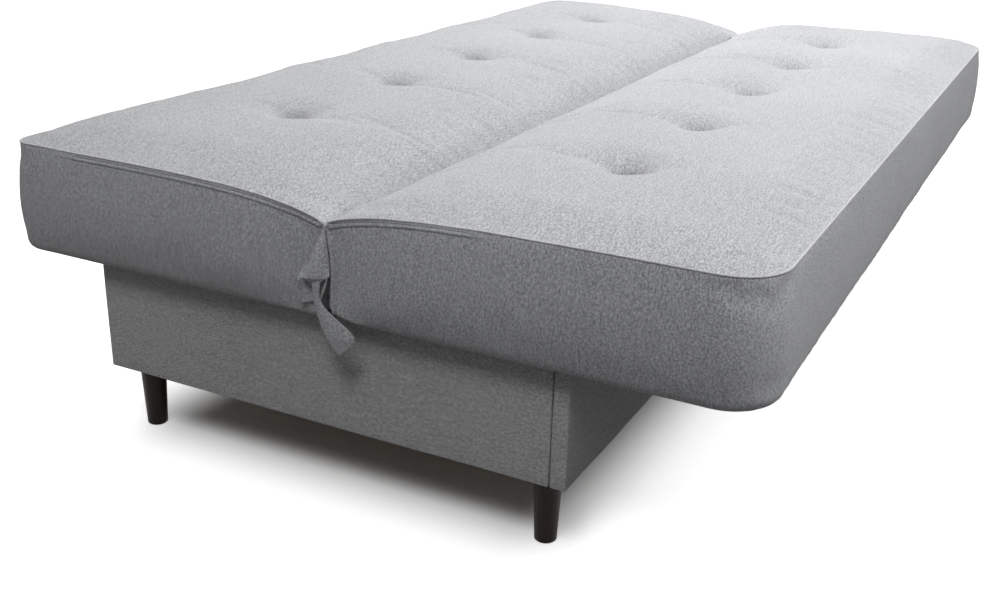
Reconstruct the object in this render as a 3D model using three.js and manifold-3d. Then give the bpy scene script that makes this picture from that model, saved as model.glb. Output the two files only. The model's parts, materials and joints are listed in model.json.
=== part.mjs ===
// Click clack sofa bed, shown folded flat as a bed.
// X runs along the bed, -Y is the sofa's front, +Z is up and the legs stand on z = 0.
// The two mattress halves turn about one axis in the crease, on a carriage that slides in the storage box.

import * as THREE from "three";
import { mergeVertices } from "three/addons/utils/BufferGeometryUtils.js";
import Module from "manifold-3d";

const wasm = await Module();
wasm.setup();

// Bed
const bedLength = 1960;
const seatDepth = 620;
const backDepth = 580;
const padThickness = 174; // up to the seam
const restGap = 6; // between the box and the mattress
const touchGap = 0.3; // between pieces that meet
const overrun = 5; // how far a cutting solid runs past what it cuts

// Storage box
const boxHeight = 181;
const endOverhang = 32; // from the mattress end back to the box
const frontOverhang = 258;
const rearOverhang = 133;
const boardThickness = 24;
const panelThickness = 20;
const boardEdgeRadius = 4;
const floorThickness = 6;
const bearerWidth = 50;
const bearerHeight = 20;
const bearerSpacing = 660;
const blockWidth = 60;
const blockHeight = 56;

// Legs
const legHeight = 111;
const legTopRadius = 20;
const legFootRadius = 15.3;
const legFootChamfer = 2;
const legInset = 45; // from the box's outer faces to the leg's axis
const studRadius = 4;
const studLength = 40;
const studClearance = 0.3;

// Padding and cover
const crown = 28; // from the seam up to the middle
const crownSideReach = 22; // how fast the crown rises from the long side
const crownEndReach = 60;
const seatCornerRadius = 72;
const backCornerRadius = 32;
const creaseCornerRadius = 14;
const sideBulge = 6;
const bottomTuck = 5;
const creaseDrop = 34; // from the seam down to the crease line
const creaseReach = 85;
const creaseFootRadius = 45;
const rimRow = 60; // from the rim to the padding's second row of points
const rimStep = 18;
const tuftSpacing = 320;
const tuftReach = 34;
const tuftStep = 75;
const tuftInnerStep = 32;
const seatTuftDepth = 24;
const backTuftDepth = 14;

// Frames inside the padding
const frameInset = 40; // from the padding's outer long side to the frame
const frameCreaseInset = 50; // from the crease to the frame
const railWidth = 25;
const railHeight = 50;
const centreRailWidth = 40;
const deckThickness = 6;
const liningThickness = 2;

// Hinges
const pivotDrop = 44; // from the seam down to the hinge's axis
const pinRadius = 4;
const pinClearance = 0.25;
const pinHeadRadius = 7;
const pinHeadThickness = 2.6;
const knuckleRadius = 12;
const armThickness = 5;
const armHeight = 30;
const armLength = 300;
const armBelowDeck = 4;
const armScrewRadius = 3;
const ratchetRadius = 34;
const ratchetToothDepth = 6;
const plateThickness = 4;
const plateShoulderWidth = 88;
const plateShoulderDrop = 46;
const plateShoulderHeight = 18;
const plateWaistWidth = 68;
const plateWindowWidth = 22;
const plateWindowHeight = 30;
const footWidth = 160;
const footRadius = 8;
const pawlThickness = 4.4;
const pawlBossRadius = 8;
const pawlReach = 34; // from the pawl's pin to the hinge's axis, along the sofa's depth
const pawlDrop = 52; // from the hinge's axis down to the pawl's pin
const pawlTipDrop = 29.2;
const pawlTipWidth = 0.8;
const pawlHookDepth = 3;
const pawlHookWidth = 4.4;
const pawlNeckDepth = 7.3;
const pawlNeckWidth = 8.8;
const pawlTipHeight = 9;
const slotMargin = 3;
const slotShoulderDrop = 4;

// Carriage guides
const slideTravel = 250;
const channelHeight = 32;
const channelWidth = 22;
const channelWall = 2.5;
const channelDrop = 4; // from the box's top edge down to the channel
const shoeLength = 40;
const shoeWidth = 26.6;
const shoeSpacing = 116;
const shoeEndRadius = 6;
const tubeRadius = 11;
const tubeWall = 2;

// Side gussets
const gussetStandOff = 2;
const gussetMouthWidth = 46;
const gussetMouthDrop = 80; // from the gusset's top to its mouth
const gussetMouthDepth = 17;
const gussetTopRise = 11; // from the hinge's axis up to the gusset's top
const gussetTopWidth = 3;
const gussetTopDepth = 2;
const gussetLean = 18; // sideways, from the top to the mouth
const gussetNeckWidth = 17;
const gussetNeckDepth = 7;
const gussetNeckDrop = 46; // from the mouth to the end of the neck
const tongueReach = 44; // sideways, from the neck to the tongue's end
const tongueDrop = 44;
const tongueEndWidth = 40;
const tongueDepth = 5;
const pocketWidth = 13;
const pocketDepth = 9;
const pocketHeight = 40;

// Shares and angles
const padHeightShares = [0, 0.035, 0.13, 0.27, 0.58, 0.86, 1];
const tuckShares = [1, 0.55, 0.12, 0, 0, 0, 0]; // of the bottom tuck, at each height
const bulgeShares = [0, 0, 0.35, 0.8, 1, 0.6, 0]; // of the side bulge, at each height
const veeShare = 0.62; // rise over run beside the hinge's axis
const ratchetStartAngle = 187;
const ratchetEndAngle = 285;
const ratchetStopAngles = [0, 25, 50, 75]; // back angles that the pawl can hold
const toothRampAngle = 10;
const toothFaceAngle = 7;
const pawlReleaseAngle = 10;
const pawlAngle = 270;
const knuckleStartAngle = 35;
const knuckleRatchetAngle = 180;
const knuckleHeelAngle = 240;
const plateCrestAngle = 20; // up from the level on both sides
const pawlBossStartAngle = 100;
const pawlBossEndAngle = 300;
const gussetFunnelShares = [0, 0.2, 0.45, 0.75, 0.92, 1];
const gussetNeckShares = [-0.35, 0, 0.25, 0.5, 0.75, 1];
const tongueShares = [0.3, 0.6, 0.85, 1];

// Places worked out from the sizes above
const halfBed = bedLength / 2;
const bedDepth = seatDepth + backDepth;
const creaseY = seatDepth - bedDepth / 2;
const boxBottom = legHeight;
const boxTop = boxBottom + boxHeight;
const padBottom = boxTop + restGap;
const seamHeight = padBottom + padThickness;
const pivotHeight = seamHeight - pivotDrop;
const boxLength = bedLength - 2 * endOverhang;
const boxFront = frontOverhang - bedDepth / 2;
const boxRear = bedDepth / 2 - rearOverhang;
const panelInner = boxLength / 2 - panelThickness;
const plateOuter = panelInner - channelWall - shoeWidth - 3 * touchGap;
const backArmInner = plateOuter + touchGap;
const seatArmInner = backArmInner + armThickness + touchGap;
const slotInner = plateOuter - plateThickness - pinHeadThickness - 2 * touchGap;
const slotOuter = seatArmInner + armThickness + pinHeadThickness + 2 * touchGap;
const railTop = padBottom + liningThickness + touchGap + railHeight;
const deckTop = railTop + touchGap + deckThickness;

// Materials

function finish(colour, roughness, metalness = 0) {
  return new THREE.MeshStandardMaterial({ color: colour, roughness, metalness });
}

const cloth = finish(0xa9abb0, 0.95);
const boxCloth = finish(0x77777a, 0.95);
const liningCloth = finish(0x35363a, 0.95);
const timber = finish(0xc9a573, 0.75);
const plywood = finish(0xb98f5c, 0.8);
const legWood = finish(0x1c110d, 0.4);
const zincSteel = finish(0x9ea2a6, 0.4, 0.9);
const blackSteel = finish(0x26272a, 0.5, 0.6);
const nylon = finish(0xd8d6cf, 0.5);

// Helpers

function part(parent, name, geometry, material, x = 0, y = 0, z = 0) {
  const mesh = new THREE.Mesh(geometry, material);
  mesh.name = name;
  mesh.position.set(x, y, z);
  parent.add(mesh);
  return mesh;
}

function merged(geometry) {
  const bare = geometry.clone();
  bare.deleteAttribute("normal");
  bare.deleteAttribute("uv");
  return mergeVertices(bare);
}

function solid(geometry) {
  const shared = merged(geometry);
  const vertProperties = new Float32Array(shared.attributes.position.array);
  const triVerts = new Uint32Array(shared.index.array);
  return new wasm.Manifold(new wasm.Mesh({ numProp: 3, vertProperties, triVerts }));
}

function surface(body) {
  const mesh = body.getMesh();
  const geometry = new THREE.BufferGeometry();
  geometry.setAttribute("position", new THREE.BufferAttribute(mesh.vertProperties, 3));
  geometry.setIndex(new THREE.BufferAttribute(mesh.triVerts, 1));
  geometry.computeVertexNormals();
  return geometry;
}

function cut(geometry, ...cutters) {
  let body = solid(geometry);
  for (const cutter of cutters) {
    body = body.subtract(solid(cutter));
  }
  return surface(body);
}

// A profile drawn in depth and height, given a thickness along the bed.
function alongBed(shape, start, end, curveSegments = 8) {
  const depth = end - start;
  const geometry = new THREE.ExtrudeGeometry(shape, { depth, bevelEnabled: false, curveSegments });
  const turn = new THREE.Matrix4().makeBasis(
    new THREE.Vector3(0, 1, 0),
    new THREE.Vector3(0, 0, 1),
    new THREE.Vector3(1, 0, 0),
  );
  return geometry.applyMatrix4(turn).translate(start, 0, 0);
}

// A profile drawn in length and height, given a thickness towards the rear.
function towardsRear(shape, start, end) {
  const geometry = new THREE.ExtrudeGeometry(shape, { depth: end - start, bevelEnabled: false });
  return geometry.rotateX(Math.PI / 2).translate(0, end, 0);
}

function boxBetween(x0, x1, y0, y1, z0, z1) {
  const geometry = new THREE.BoxGeometry(x1 - x0, y1 - y0, z1 - z0);
  return geometry.translate((x0 + x1) / 2, (y0 + y1) / 2, (z0 + z1) / 2);
}

function polygon(points) {
  return new THREE.Shape(points.map(([x, y]) => new THREE.Vector2(x, y)));
}

function roundHole(shape, x, y, radius) {
  shape.holes.push(new THREE.Path().absarc(x, y, radius, 0, 2 * Math.PI, true));
}

function degrees(angle) {
  return THREE.MathUtils.degToRad(angle);
}

function onCircle(radius, angle) {
  return [radius * Math.cos(degrees(angle)), radius * Math.sin(degrees(angle))];
}

// Points of an arc round the origin.
function arcPoints(radius, start, end, steps) {
  const points = [];
  for (let n = 0; n <= steps; n += 1) {
    points.push(onCircle(radius, start + ((end - start) * n) / steps));
  }
  return points;
}

// A pin along the bed, its shank starting at zero, with one head or a second one riveted over its far end.
function headedPin(length, riveted) {
  const outline = [
    [0, -pinHeadThickness],
    [pinHeadRadius, -pinHeadThickness],
    [pinHeadRadius, 0],
    [pinRadius, 0],
    [pinRadius, length],
  ];
  if (riveted) {
    outline.push([pinHeadRadius, length], [pinHeadRadius, length + pinHeadThickness]);
    outline.push([0, length + pinHeadThickness]);
  } else {
    outline.push([0, length]);
  }
  const profile = outline.map(([x, y]) => new THREE.Vector2(x, y));
  return new THREE.LatheGeometry(profile, 20).rotateZ(-Math.PI / 2);
}

// Storage box

// A padded board standing on its long edge, its face along X and its thickness along Y.
function paddedBoard(length, height, thickness) {
  const flat = boardEdgeRadius;
  const across = length - 2 * flat;
  const up = height - 2 * flat;
  const shape = polygon([
    [-across / 2, -up / 2],
    [across / 2, -up / 2],
    [across / 2, up / 2],
    [-across / 2, up / 2],
  ]);
  const geometry = new THREE.ExtrudeGeometry(shape, {
    depth: thickness - 2 * flat,
    bevelThickness: flat,
    bevelSize: flat,
    bevelSegments: 3,
  });
  return geometry.translate(0, 0, flat - thickness / 2).rotateX(Math.PI / 2);
}

function cornerBlock(sideX, sideY) {
  const half = blockWidth / 2;
  const shape = polygon([
    [-half, -half],
    [half, -half],
    [half, half],
    [-half, half],
  ]);
  const studX = sideX * (half + panelThickness + touchGap - legInset);
  const studY = sideY * (half + boardThickness + touchGap - legInset);
  roundHole(shape, studX, studY, studRadius + studClearance);
  return new THREE.ExtrudeGeometry(shape, { depth: blockHeight, bevelEnabled: false });
}

function floorBoard() {
  const halfX = panelInner - touchGap;
  const front = boxFront + boardThickness + touchGap;
  const rear = boxRear - boardThickness - touchGap;
  const notch = blockWidth + 2 * touchGap;
  const shape = polygon([
    [-halfX + notch, front],
    [halfX - notch, front],
    [halfX - notch, front + notch],
    [halfX, front + notch],
    [halfX, rear - notch],
    [halfX - notch, rear - notch],
    [halfX - notch, rear],
    [-halfX + notch, rear],
    [-halfX + notch, rear - notch],
    [-halfX, rear - notch],
    [-halfX, front + notch],
    [-halfX + notch, front + notch],
  ]);
  return new THREE.ExtrudeGeometry(shape, { depth: floorThickness, bevelEnabled: false });
}

function leg() {
  const profile = [
    [0, 0],
    [legFootRadius - legFootChamfer, 0],
    [legFootRadius, legFootChamfer],
    [legTopRadius, legHeight],
    [studRadius, legHeight],
    [studRadius, legHeight + studLength],
    [0, legHeight + studLength],
  ].map(([x, y]) => new THREE.Vector2(x, y));
  return new THREE.LatheGeometry(profile, 28).rotateX(Math.PI / 2);
}

function guideChannel() {
  const half = channelHeight / 2;
  const shape = polygon([
    [0, -half],
    [0, half],
    [-channelWidth, half],
    [-channelWidth, half - channelWall],
    [-channelWall, half - channelWall],
    [-channelWall, -half + channelWall],
    [-channelWidth, -half + channelWall],
    [-channelWidth, -half],
  ]);
  const reach = (shoeSpacing + shoeLength) / 2 + channelWall;
  return towardsRear(shape, creaseY - reach, creaseY + slideTravel + reach);
}

function storageBox() {
  const group = new THREE.Group();
  const middle = boxBottom + boxHeight / 2;
  const frontBoard = paddedBoard(boxLength, boxHeight, boardThickness);
  part(group, "front_board", frontBoard, boxCloth, 0, boxFront + boardThickness / 2, middle);
  const rearLength = 2 * (panelInner - touchGap);
  const rearBoard = paddedBoard(rearLength, boxHeight, boardThickness);
  part(group, "rear_board", rearBoard, boxCloth, 0, boxRear - boardThickness / 2, middle);

  const innerFront = boxFront + boardThickness + touchGap;
  const innerRear = boxRear - boardThickness - touchGap;
  const panelDepth = boxRear - innerFront;
  const channelZ = boxTop - channelDrop - channelHeight / 2;
  for (const [side, end] of [["left", -1], ["right", 1]]) {
    const panel = paddedBoard(panelDepth, boxHeight, panelThickness);
    const panelX = end * (boxLength - panelThickness) / 2;
    const panelY = innerFront + panelDepth / 2;
    const mesh = part(group, `${side}_end_panel`, panel, boxCloth, panelX, panelY, middle);
    mesh.rotation.z = Math.PI / 2;

    const channelX = end * (panelInner - touchGap);
    const channel = part(group, `${side}_guide_channel`, guideChannel(), zincSteel, channelX, 0, channelZ);
    if (end < 0) {
      channel.rotation.y = Math.PI;
    }
    const bearer = new THREE.BoxGeometry(bearerWidth, innerRear - innerFront, bearerHeight);
    const bearerX = end * bearerSpacing / 2;
    const bearerY = (innerFront + innerRear) / 2;
    part(group, `${side}_floor_bearer`, bearer, timber, bearerX, bearerY, boxBottom + bearerHeight / 2);

    for (const [place, blockY, sideY, legY] of [
      ["front", innerFront + blockWidth / 2, -1, boxFront + legInset],
      ["rear", innerRear - blockWidth / 2, 1, boxRear - legInset],
    ]) {
      const blockX = end * (panelInner - touchGap - blockWidth / 2);
      const block = cornerBlock(end, sideY);
      part(group, `${side}_${place}_corner_block`, block, timber, blockX, blockY, boxBottom + touchGap);
      part(group, `${side}_${place}_leg`, leg(), legWood, end * (boxLength / 2 - legInset), legY, 0);
    }
  }
  part(group, "box_floor", floorBoard(), plywood, 0, 0, boxBottom + bearerHeight + touchGap);
  return group;
}

// Padding and cover of one half, measured from the hinge's axis, with its depth along +Y

function lengthStations() {
  const tufts = tuftPlaces();
  const steps = [-tuftStep, -tuftInnerStep, 0, tuftInnerStep, tuftStep];
  const beside = tufts.flatMap((tuft) => steps.map((step) => tuft + step));
  const between = tufts.slice(1).map((tuft) => tuft - tuftSpacing / 2);
  const afterTufts = (halfBed - rimRow + tufts.at(-1) + tuftStep) / 2;
  const rim = [afterTufts, halfBed - rimRow, halfBed - rimStep, halfBed];
  return [...beside, ...between, ...rim, ...rim.map((place) => -place)].sort((a, b) => a - b);
}

function depthStations(depth) {
  const middle = depth / 2;
  return [
    touchGap,
    creaseCornerRadius,
    creaseFootRadius,
    creaseReach,
    (creaseReach + middle) / 2,
    middle - tuftStep,
    middle - tuftInnerStep,
    middle,
    middle + tuftInnerStep,
    middle + tuftStep,
    (depth - rimRow + middle + tuftStep) / 2,
    depth - rimRow,
    depth - rimStep,
    depth,
  ];
}

function tuftPlaces() {
  return [-2, -1, 0, 1, 2].map((place) => place * tuftSpacing);
}

function padTop(x, d, depth, tuftDepth) {
  const crease = 1 - Math.exp(-d / creaseReach);
  const edge = 1 - Math.exp(-(depth - d) / crownSideReach);
  const end = 1 - Math.exp(-(halfBed - Math.abs(x)) / crownEndReach);
  let height = pivotDrop + crown * edge * end * crease - creaseDrop * (1 - crease);
  for (const tuft of tuftPlaces()) {
    const away = Math.hypot(x - tuft, d - depth / 2) / tuftReach;
    height -= tuftDepth * Math.exp(-away * away);
  }
  return Math.min(height, d * veeShare - touchGap);
}

// Moves a point of the outline's square corner on to its arc.
function roundedCorner(x, d, centreX, centreD, radius) {
  const dx = x - centreX;
  const dd = d - centreD;
  const square = Math.max(Math.abs(dx), Math.abs(dd));
  const scale = square / Math.hypot(dx, dd);
  return square > 0 && square <= radius + touchGap ? [centreX + dx * scale, centreD + dd * scale] : [x, d];
}

function padPoint(x, d, level, depth, cornerRadius, tuftDepth) {
  const bottom = padBottom - pivotHeight;
  const z = bottom + padHeightShares[level] * (padTop(x, d, depth, tuftDepth) - bottom);
  let px = x;
  let pd = d;
  const side = Math.sign(x);
  const outerD = depth - cornerRadius;
  const outerX = halfBed - cornerRadius;
  const innerX = halfBed - creaseCornerRadius;
  if (Math.abs(x) > outerX && d > outerD) {
    [px, pd] = roundedCorner(x, d, side * outerX, outerD, cornerRadius);
  } else if (Math.abs(x) > innerX && d < creaseCornerRadius) {
    [px, pd] = roundedCorner(x, d, side * innerX, creaseCornerRadius, creaseCornerRadius);
  }
  const away = 1 - Math.exp(-d / creaseReach);
  const swell = sideBulge * bulgeShares[level] - bottomTuck * tuckShares[level];
  px *= 1 + (swell * (swell > 0 ? away : 1)) / halfBed;
  pd += (swell * d) / depth;
  const above = Math.min(z - bottom, creaseFootRadius);
  const foot = creaseFootRadius - Math.sqrt(creaseFootRadius ** 2 - (creaseFootRadius - above) ** 2);
  pd += foot * (1 - d / depth);
  return [px, pd, z];
}

function paddedSolid(depth, cornerRadius, tuftDepth) {
  const xs = lengthStations();
  const ds = depthStations(depth);
  const counts = [xs.length - 1, ds.length - 1, padHeightShares.length - 1];
  const geometry = merged(new THREE.BoxGeometry(1, 1, 1, ...counts));
  const place = geometry.attributes.position;
  for (let n = 0; n < place.count; n += 1) {
    const i = Math.round((place.getX(n) + 0.5) * counts[0]);
    const j = Math.round((place.getY(n) + 0.5) * counts[1]);
    const k = Math.round((place.getZ(n) + 0.5) * counts[2]);
    place.setXYZ(n, ...padPoint(xs[i], ds[j], k, depth, cornerRadius, tuftDepth));
  }
  return geometry;
}

// Room for the hinge between the crease and the frame.
function hingeSlot(inner, outer) {
  const bottom = padBottom - pivotHeight - overrun;
  const crest = knuckleRadius + slotMargin;
  const clear = ratchetRadius + slotMargin + touchGap;
  const shape = polygon([
    [-overrun, bottom],
    [frameCreaseInset + touchGap, bottom],
    [frameCreaseInset + touchGap, -plateShoulderDrop + slotMargin],
    [clear, -slotShoulderDrop + 2 * slotMargin],
    [crest, crest],
    [-overrun, crest],
  ]);
  return alongBed(shape, inner, outer);
}

// Mattress halves

function armShape(withRatchet) {
  const top = deckTop - deckThickness - armBelowDeck - pivotHeight;
  const bottom = top - armHeight;
  const knuckleEndAngle = withRatchet ? knuckleRatchetAngle : knuckleHeelAngle;
  const points = arcPoints(knuckleRadius, knuckleStartAngle, knuckleEndAngle, 12);
  if (withRatchet) {
    points.push(...ratchetRim());
  }
  const heel = railWidth + knuckleRadius;
  points.push([heel, bottom], [armLength, bottom], [armLength, top], [frameCreaseInset, top]);
  const shape = polygon(points);
  roundHole(shape, 0, 0, pinRadius + pinClearance);
  const firstScrew = frameCreaseInset + armHeight / 2;
  const lastScrew = armLength - armHeight / 2;
  for (const place of [firstScrew, (firstScrew + lastScrew) / 2, lastScrew]) {
    roundHole(shape, place, (top + bottom) / 2, armScrewRadius);
  }
  return shape;
}

// The toothed rim below the hinge: each tooth has a ramp and a steep face that the pawl meets.
function ratchetRim() {
  const points = [onCircle(ratchetRadius, ratchetStartAngle - toothRampAngle / 2)];
  const holds = ratchetStopAngles.map((stop) => pawlAngle - stop).sort((a, b) => a - b);
  for (const hold of holds) {
    points.push(onCircle(ratchetRadius, hold - toothRampAngle));
    points.push(onCircle(ratchetRadius - ratchetToothDepth, hold));
    points.push(onCircle(ratchetRadius - ratchetToothDepth, hold + toothFaceAngle));
    points.push(onCircle(ratchetRadius, hold + toothFaceAngle));
  }
  points.push(onCircle(ratchetRadius, ratchetEndAngle));
  return points;
}

function mattressHalf({ name, depth, cornerRadius, tuftDepth, armInner, withRatchet, turned }) {
  const half = new THREE.Group();
  half.position.set(0, creaseY, pivotHeight);
  if (turned) {
    half.rotation.z = Math.PI;
  }
  const railInner = armInner + armThickness + touchGap;
  const cavityX = railInner + railWidth + touchGap;
  const cavityFront = frameCreaseInset - touchGap;
  const cavityRear = depth - frameInset + touchGap;
  const bottom = padBottom - pivotHeight;
  const cavityTop = deckTop + touchGap - pivotHeight;
  const cavity = boxBetween(-cavityX, cavityX, cavityFront, cavityRear, bottom - overrun, cavityTop);
  const slots = [hingeSlot(slotInner, slotOuter), hingeSlot(-slotOuter, -slotInner)];
  const padding = paddedSolid(depth, cornerRadius, tuftDepth);
  part(half, `${name}_pad`, cut(padding, cavity, ...slots), cloth);

  const sheetX = cavityX - 2 * touchGap;
  const sheetFront = cavityFront + 2 * touchGap;
  const sheetRear = cavityRear - 2 * touchGap;
  const sheetY = (sheetFront + sheetRear) / 2;
  const lining = new THREE.BoxGeometry(2 * sheetX, sheetRear - sheetFront, liningThickness);
  part(half, `${name}_lining`, lining, liningCloth, 0, sheetY, bottom + liningThickness / 2);
  const deck = new THREE.BoxGeometry(2 * sheetX, sheetRear - sheetFront, deckThickness);
  part(half, `${name}_deck`, deck, plywood, 0, sheetY, deckTop - deckThickness / 2 - pivotHeight);

  const railZ = railTop - railHeight / 2 - pivotHeight;
  const endLength = depth - frameInset - frameCreaseInset - touchGap;
  const endY = frameCreaseInset + touchGap + endLength / 2;
  const shape = armShape(withRatchet);
  for (const [side, end] of [["left", -1], ["right", 1]]) {
    const label = turned ? { left: "right", right: "left" }[side] : side;
    const rail = new THREE.BoxGeometry(railWidth, endLength, railHeight);
    part(half, `${name}_${label}_rail`, rail, timber, end * (railInner + railWidth / 2), endY, railZ);
    const start = end > 0 ? armInner : -armInner - armThickness;
    part(half, `${name}_${label}_arm`, alongBed(shape, start, start + armThickness, 12), zincSteel);
  }
  const creaseRail = new THREE.BoxGeometry(2 * (slotInner - touchGap), railWidth, railHeight);
  const creaseRailY = frameCreaseInset + touchGap + railWidth / 2;
  part(half, `${name}_crease_rail`, creaseRail, timber, 0, creaseRailY, railZ);
  const outerRail = new THREE.BoxGeometry(2 * (railInner - touchGap), railWidth, railHeight);
  part(half, `${name}_outer_rail`, outerRail, timber, 0, depth - frameInset - railWidth / 2, railZ);
  const centreStart = frameCreaseInset + railWidth + 2 * touchGap;
  const centreEnd = depth - frameInset - railWidth - touchGap;
  const centreRail = new THREE.BoxGeometry(centreRailWidth, centreEnd - centreStart, railHeight);
  part(half, `${name}_centre_rail`, centreRail, timber, 0, (centreStart + centreEnd) / 2, railZ);
  return half;
}

// Sliding carriage, measured from the hinge's axis

function plateShape() {
  const shoulder = plateShoulderWidth / 2;
  const waist = plateWaistWidth / 2;
  const footTop = boxTop - channelDrop - pivotHeight;
  const footBottom = footTop - channelHeight;
  const footEnd = footWidth / 2 - footRadius;
  const shape = new THREE.Shape();
  shape.absarc(0, 0, knuckleRadius, degrees(plateCrestAngle), Math.PI - degrees(plateCrestAngle), false);
  shape.lineTo(-shoulder, -plateShoulderDrop);
  shape.lineTo(-shoulder, -plateShoulderDrop - plateShoulderHeight);
  shape.lineTo(-waist, footTop + footRadius);
  shape.quadraticCurveTo(-waist, footTop, -waist - footRadius, footTop);
  shape.lineTo(-footEnd, footTop);
  shape.absarc(-footEnd, footTop - footRadius, footRadius, Math.PI / 2, Math.PI, false);
  shape.lineTo(-footWidth / 2, footBottom);
  shape.lineTo(footWidth / 2, footBottom);
  shape.absarc(footEnd, footTop - footRadius, footRadius, 0, Math.PI / 2, false);
  shape.lineTo(waist + footRadius, footTop);
  shape.quadraticCurveTo(waist, footTop, waist, footTop + footRadius);
  shape.lineTo(shoulder, -plateShoulderDrop - plateShoulderHeight);
  shape.lineTo(shoulder, -plateShoulderDrop);
  roundHole(shape, 0, 0, pinRadius + pinClearance);
  roundHole(shape, -pawlReach, -pawlDrop, pinRadius + pinClearance);

  const windowTop = -plateShoulderDrop - plateShoulderHeight;
  const window = new THREE.Path();
  window.absarc(0, windowTop, plateWindowWidth / 2, 0, Math.PI, false);
  window.absarc(0, windowTop - plateWindowHeight, plateWindowWidth / 2, Math.PI, 2 * Math.PI, false);
  shape.holes.push(window);
  return shape;
}

// The pawl as it lies engaged, measured from its own pin.
function pawlShape() {
  const tipD = pawlReach + pawlTipWidth;
  const tipZ = pawlDrop - pawlTipDrop;
  const points = arcPoints(pawlBossRadius, pawlBossStartAngle, pawlBossEndAngle, 10);
  points.push([tipD, tipZ - pawlTipHeight]);
  points.push([tipD, tipZ]);
  points.push([tipD - pawlHookWidth, tipZ - pawlHookDepth]);
  points.push([tipD - pawlNeckWidth, tipZ - pawlNeckDepth]);
  const shape = polygon(points);
  roundHole(shape, 0, 0, pinRadius + pinClearance);
  return shape;
}

function shoeShape() {
  const halfLength = shoeLength / 2;
  const halfHeight = channelHeight / 2 - channelWall - touchGap;
  const flat = halfLength - shoeEndRadius;
  const rise = halfHeight - shoeEndRadius;
  const shape = new THREE.Shape();
  const corners = [
    [flat, rise],
    [-flat, rise],
    [-flat, -rise],
    [flat, -rise],
  ];
  for (const [quarter, [y, z]] of corners.entries()) {
    const start = (quarter * Math.PI) / 2;
    shape.absarc(y, z, shoeEndRadius, start, start + Math.PI / 2, false);
  }
  return shape;
}

function crossTube() {
  const reach = plateOuter - plateThickness - touchGap;
  const shape = new THREE.Shape();
  shape.absarc(0, 0, tubeRadius, 0, 2 * Math.PI, false);
  roundHole(shape, 0, 0, tubeRadius - tubeWall);
  return alongBed(shape, -reach, reach, 14);
}

// Lofts closed sections into one skin with a flat cap at each end.
function lofted(sections) {
  const around = sections[0].length;
  const points = sections.flat().flat();
  const faces = [];
  for (let row = 0; row < sections.length - 1; row += 1) {
    for (let n = 0; n < around; n += 1) {
      const a = row * around + n;
      const b = row * around + ((n + 1) % around);
      faces.push(a, b, a + around, b, b + around, a + around);
    }
  }
  const last = (sections.length - 1) * around;
  for (let n = 1; n < around - 1; n += 1) {
    faces.push(0, n + 1, n);
    faces.push(last, last + n, last + n + 1);
  }
  const geometry = new THREE.BufferGeometry();
  geometry.setAttribute("position", new THREE.Float32BufferAttribute(points, 3));
  geometry.setIndex(faces);
  return geometry;
}

// A section of folded cloth: flat towards the mattress, arched away from it.
function clothSection(centreY, z, width, depth, tilt = 0) {
  const section = [];
  const steps = 10;
  for (let n = 0; n <= steps; n += 1) {
    const turn = (Math.PI * n) / steps;
    const across = (-width / 2) * Math.cos(turn);
    section.push([-touchGap - depth * Math.sin(turn), centreY + across, z + across * tilt]);
  }
  return section;
}

// The gusset of one end: a funnel with a pocket on each side of its neck, and a tongue that hangs from it.
function sideGusset(end) {
  const mouthZ = gussetTopRise - gussetMouthDrop;
  const funnel = gussetFunnelShares.map((share) => {
    const width = gussetTopWidth + (gussetMouthWidth - gussetTopWidth) * share;
    const depth = gussetTopDepth + (gussetMouthDepth - gussetTopDepth) * Math.sin((share * Math.PI) / 2);
    return clothSection(gussetLean * share, gussetTopRise - gussetMouthDrop * share, width, depth);
  });
  const tongue = gussetNeckShares.map((share) => {
    return clothSection(gussetLean, mouthZ - gussetNeckDrop * share, gussetNeckWidth, gussetNeckDepth);
  });
  for (const share of tongueShares) {
    const width = gussetNeckWidth + (tongueEndWidth - gussetNeckWidth) * share;
    const centre = gussetLean - tongueReach * share;
    const z = mouthZ - gussetNeckDrop - tongueDrop * share;
    tongue.push(clothSection(centre, z, width, tongueDepth, -share));
  }
  let body = solid(lofted(funnel));
  for (const side of [-1, 1]) {
    const pocket = new THREE.SphereGeometry(1, 16, 12);
    pocket.scale(pocketDepth, pocketWidth / 2, pocketHeight / 2);
    pocket.translate(-touchGap, gussetLean + side * (gussetNeckWidth + pocketWidth) / 2, mouthZ);
    body = body.subtract(solid(pocket));
  }
  body = body.add(solid(lofted(tongue)));
  return surface(end > 0 ? body.mirror([1, 0, 0]) : body);
}

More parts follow.
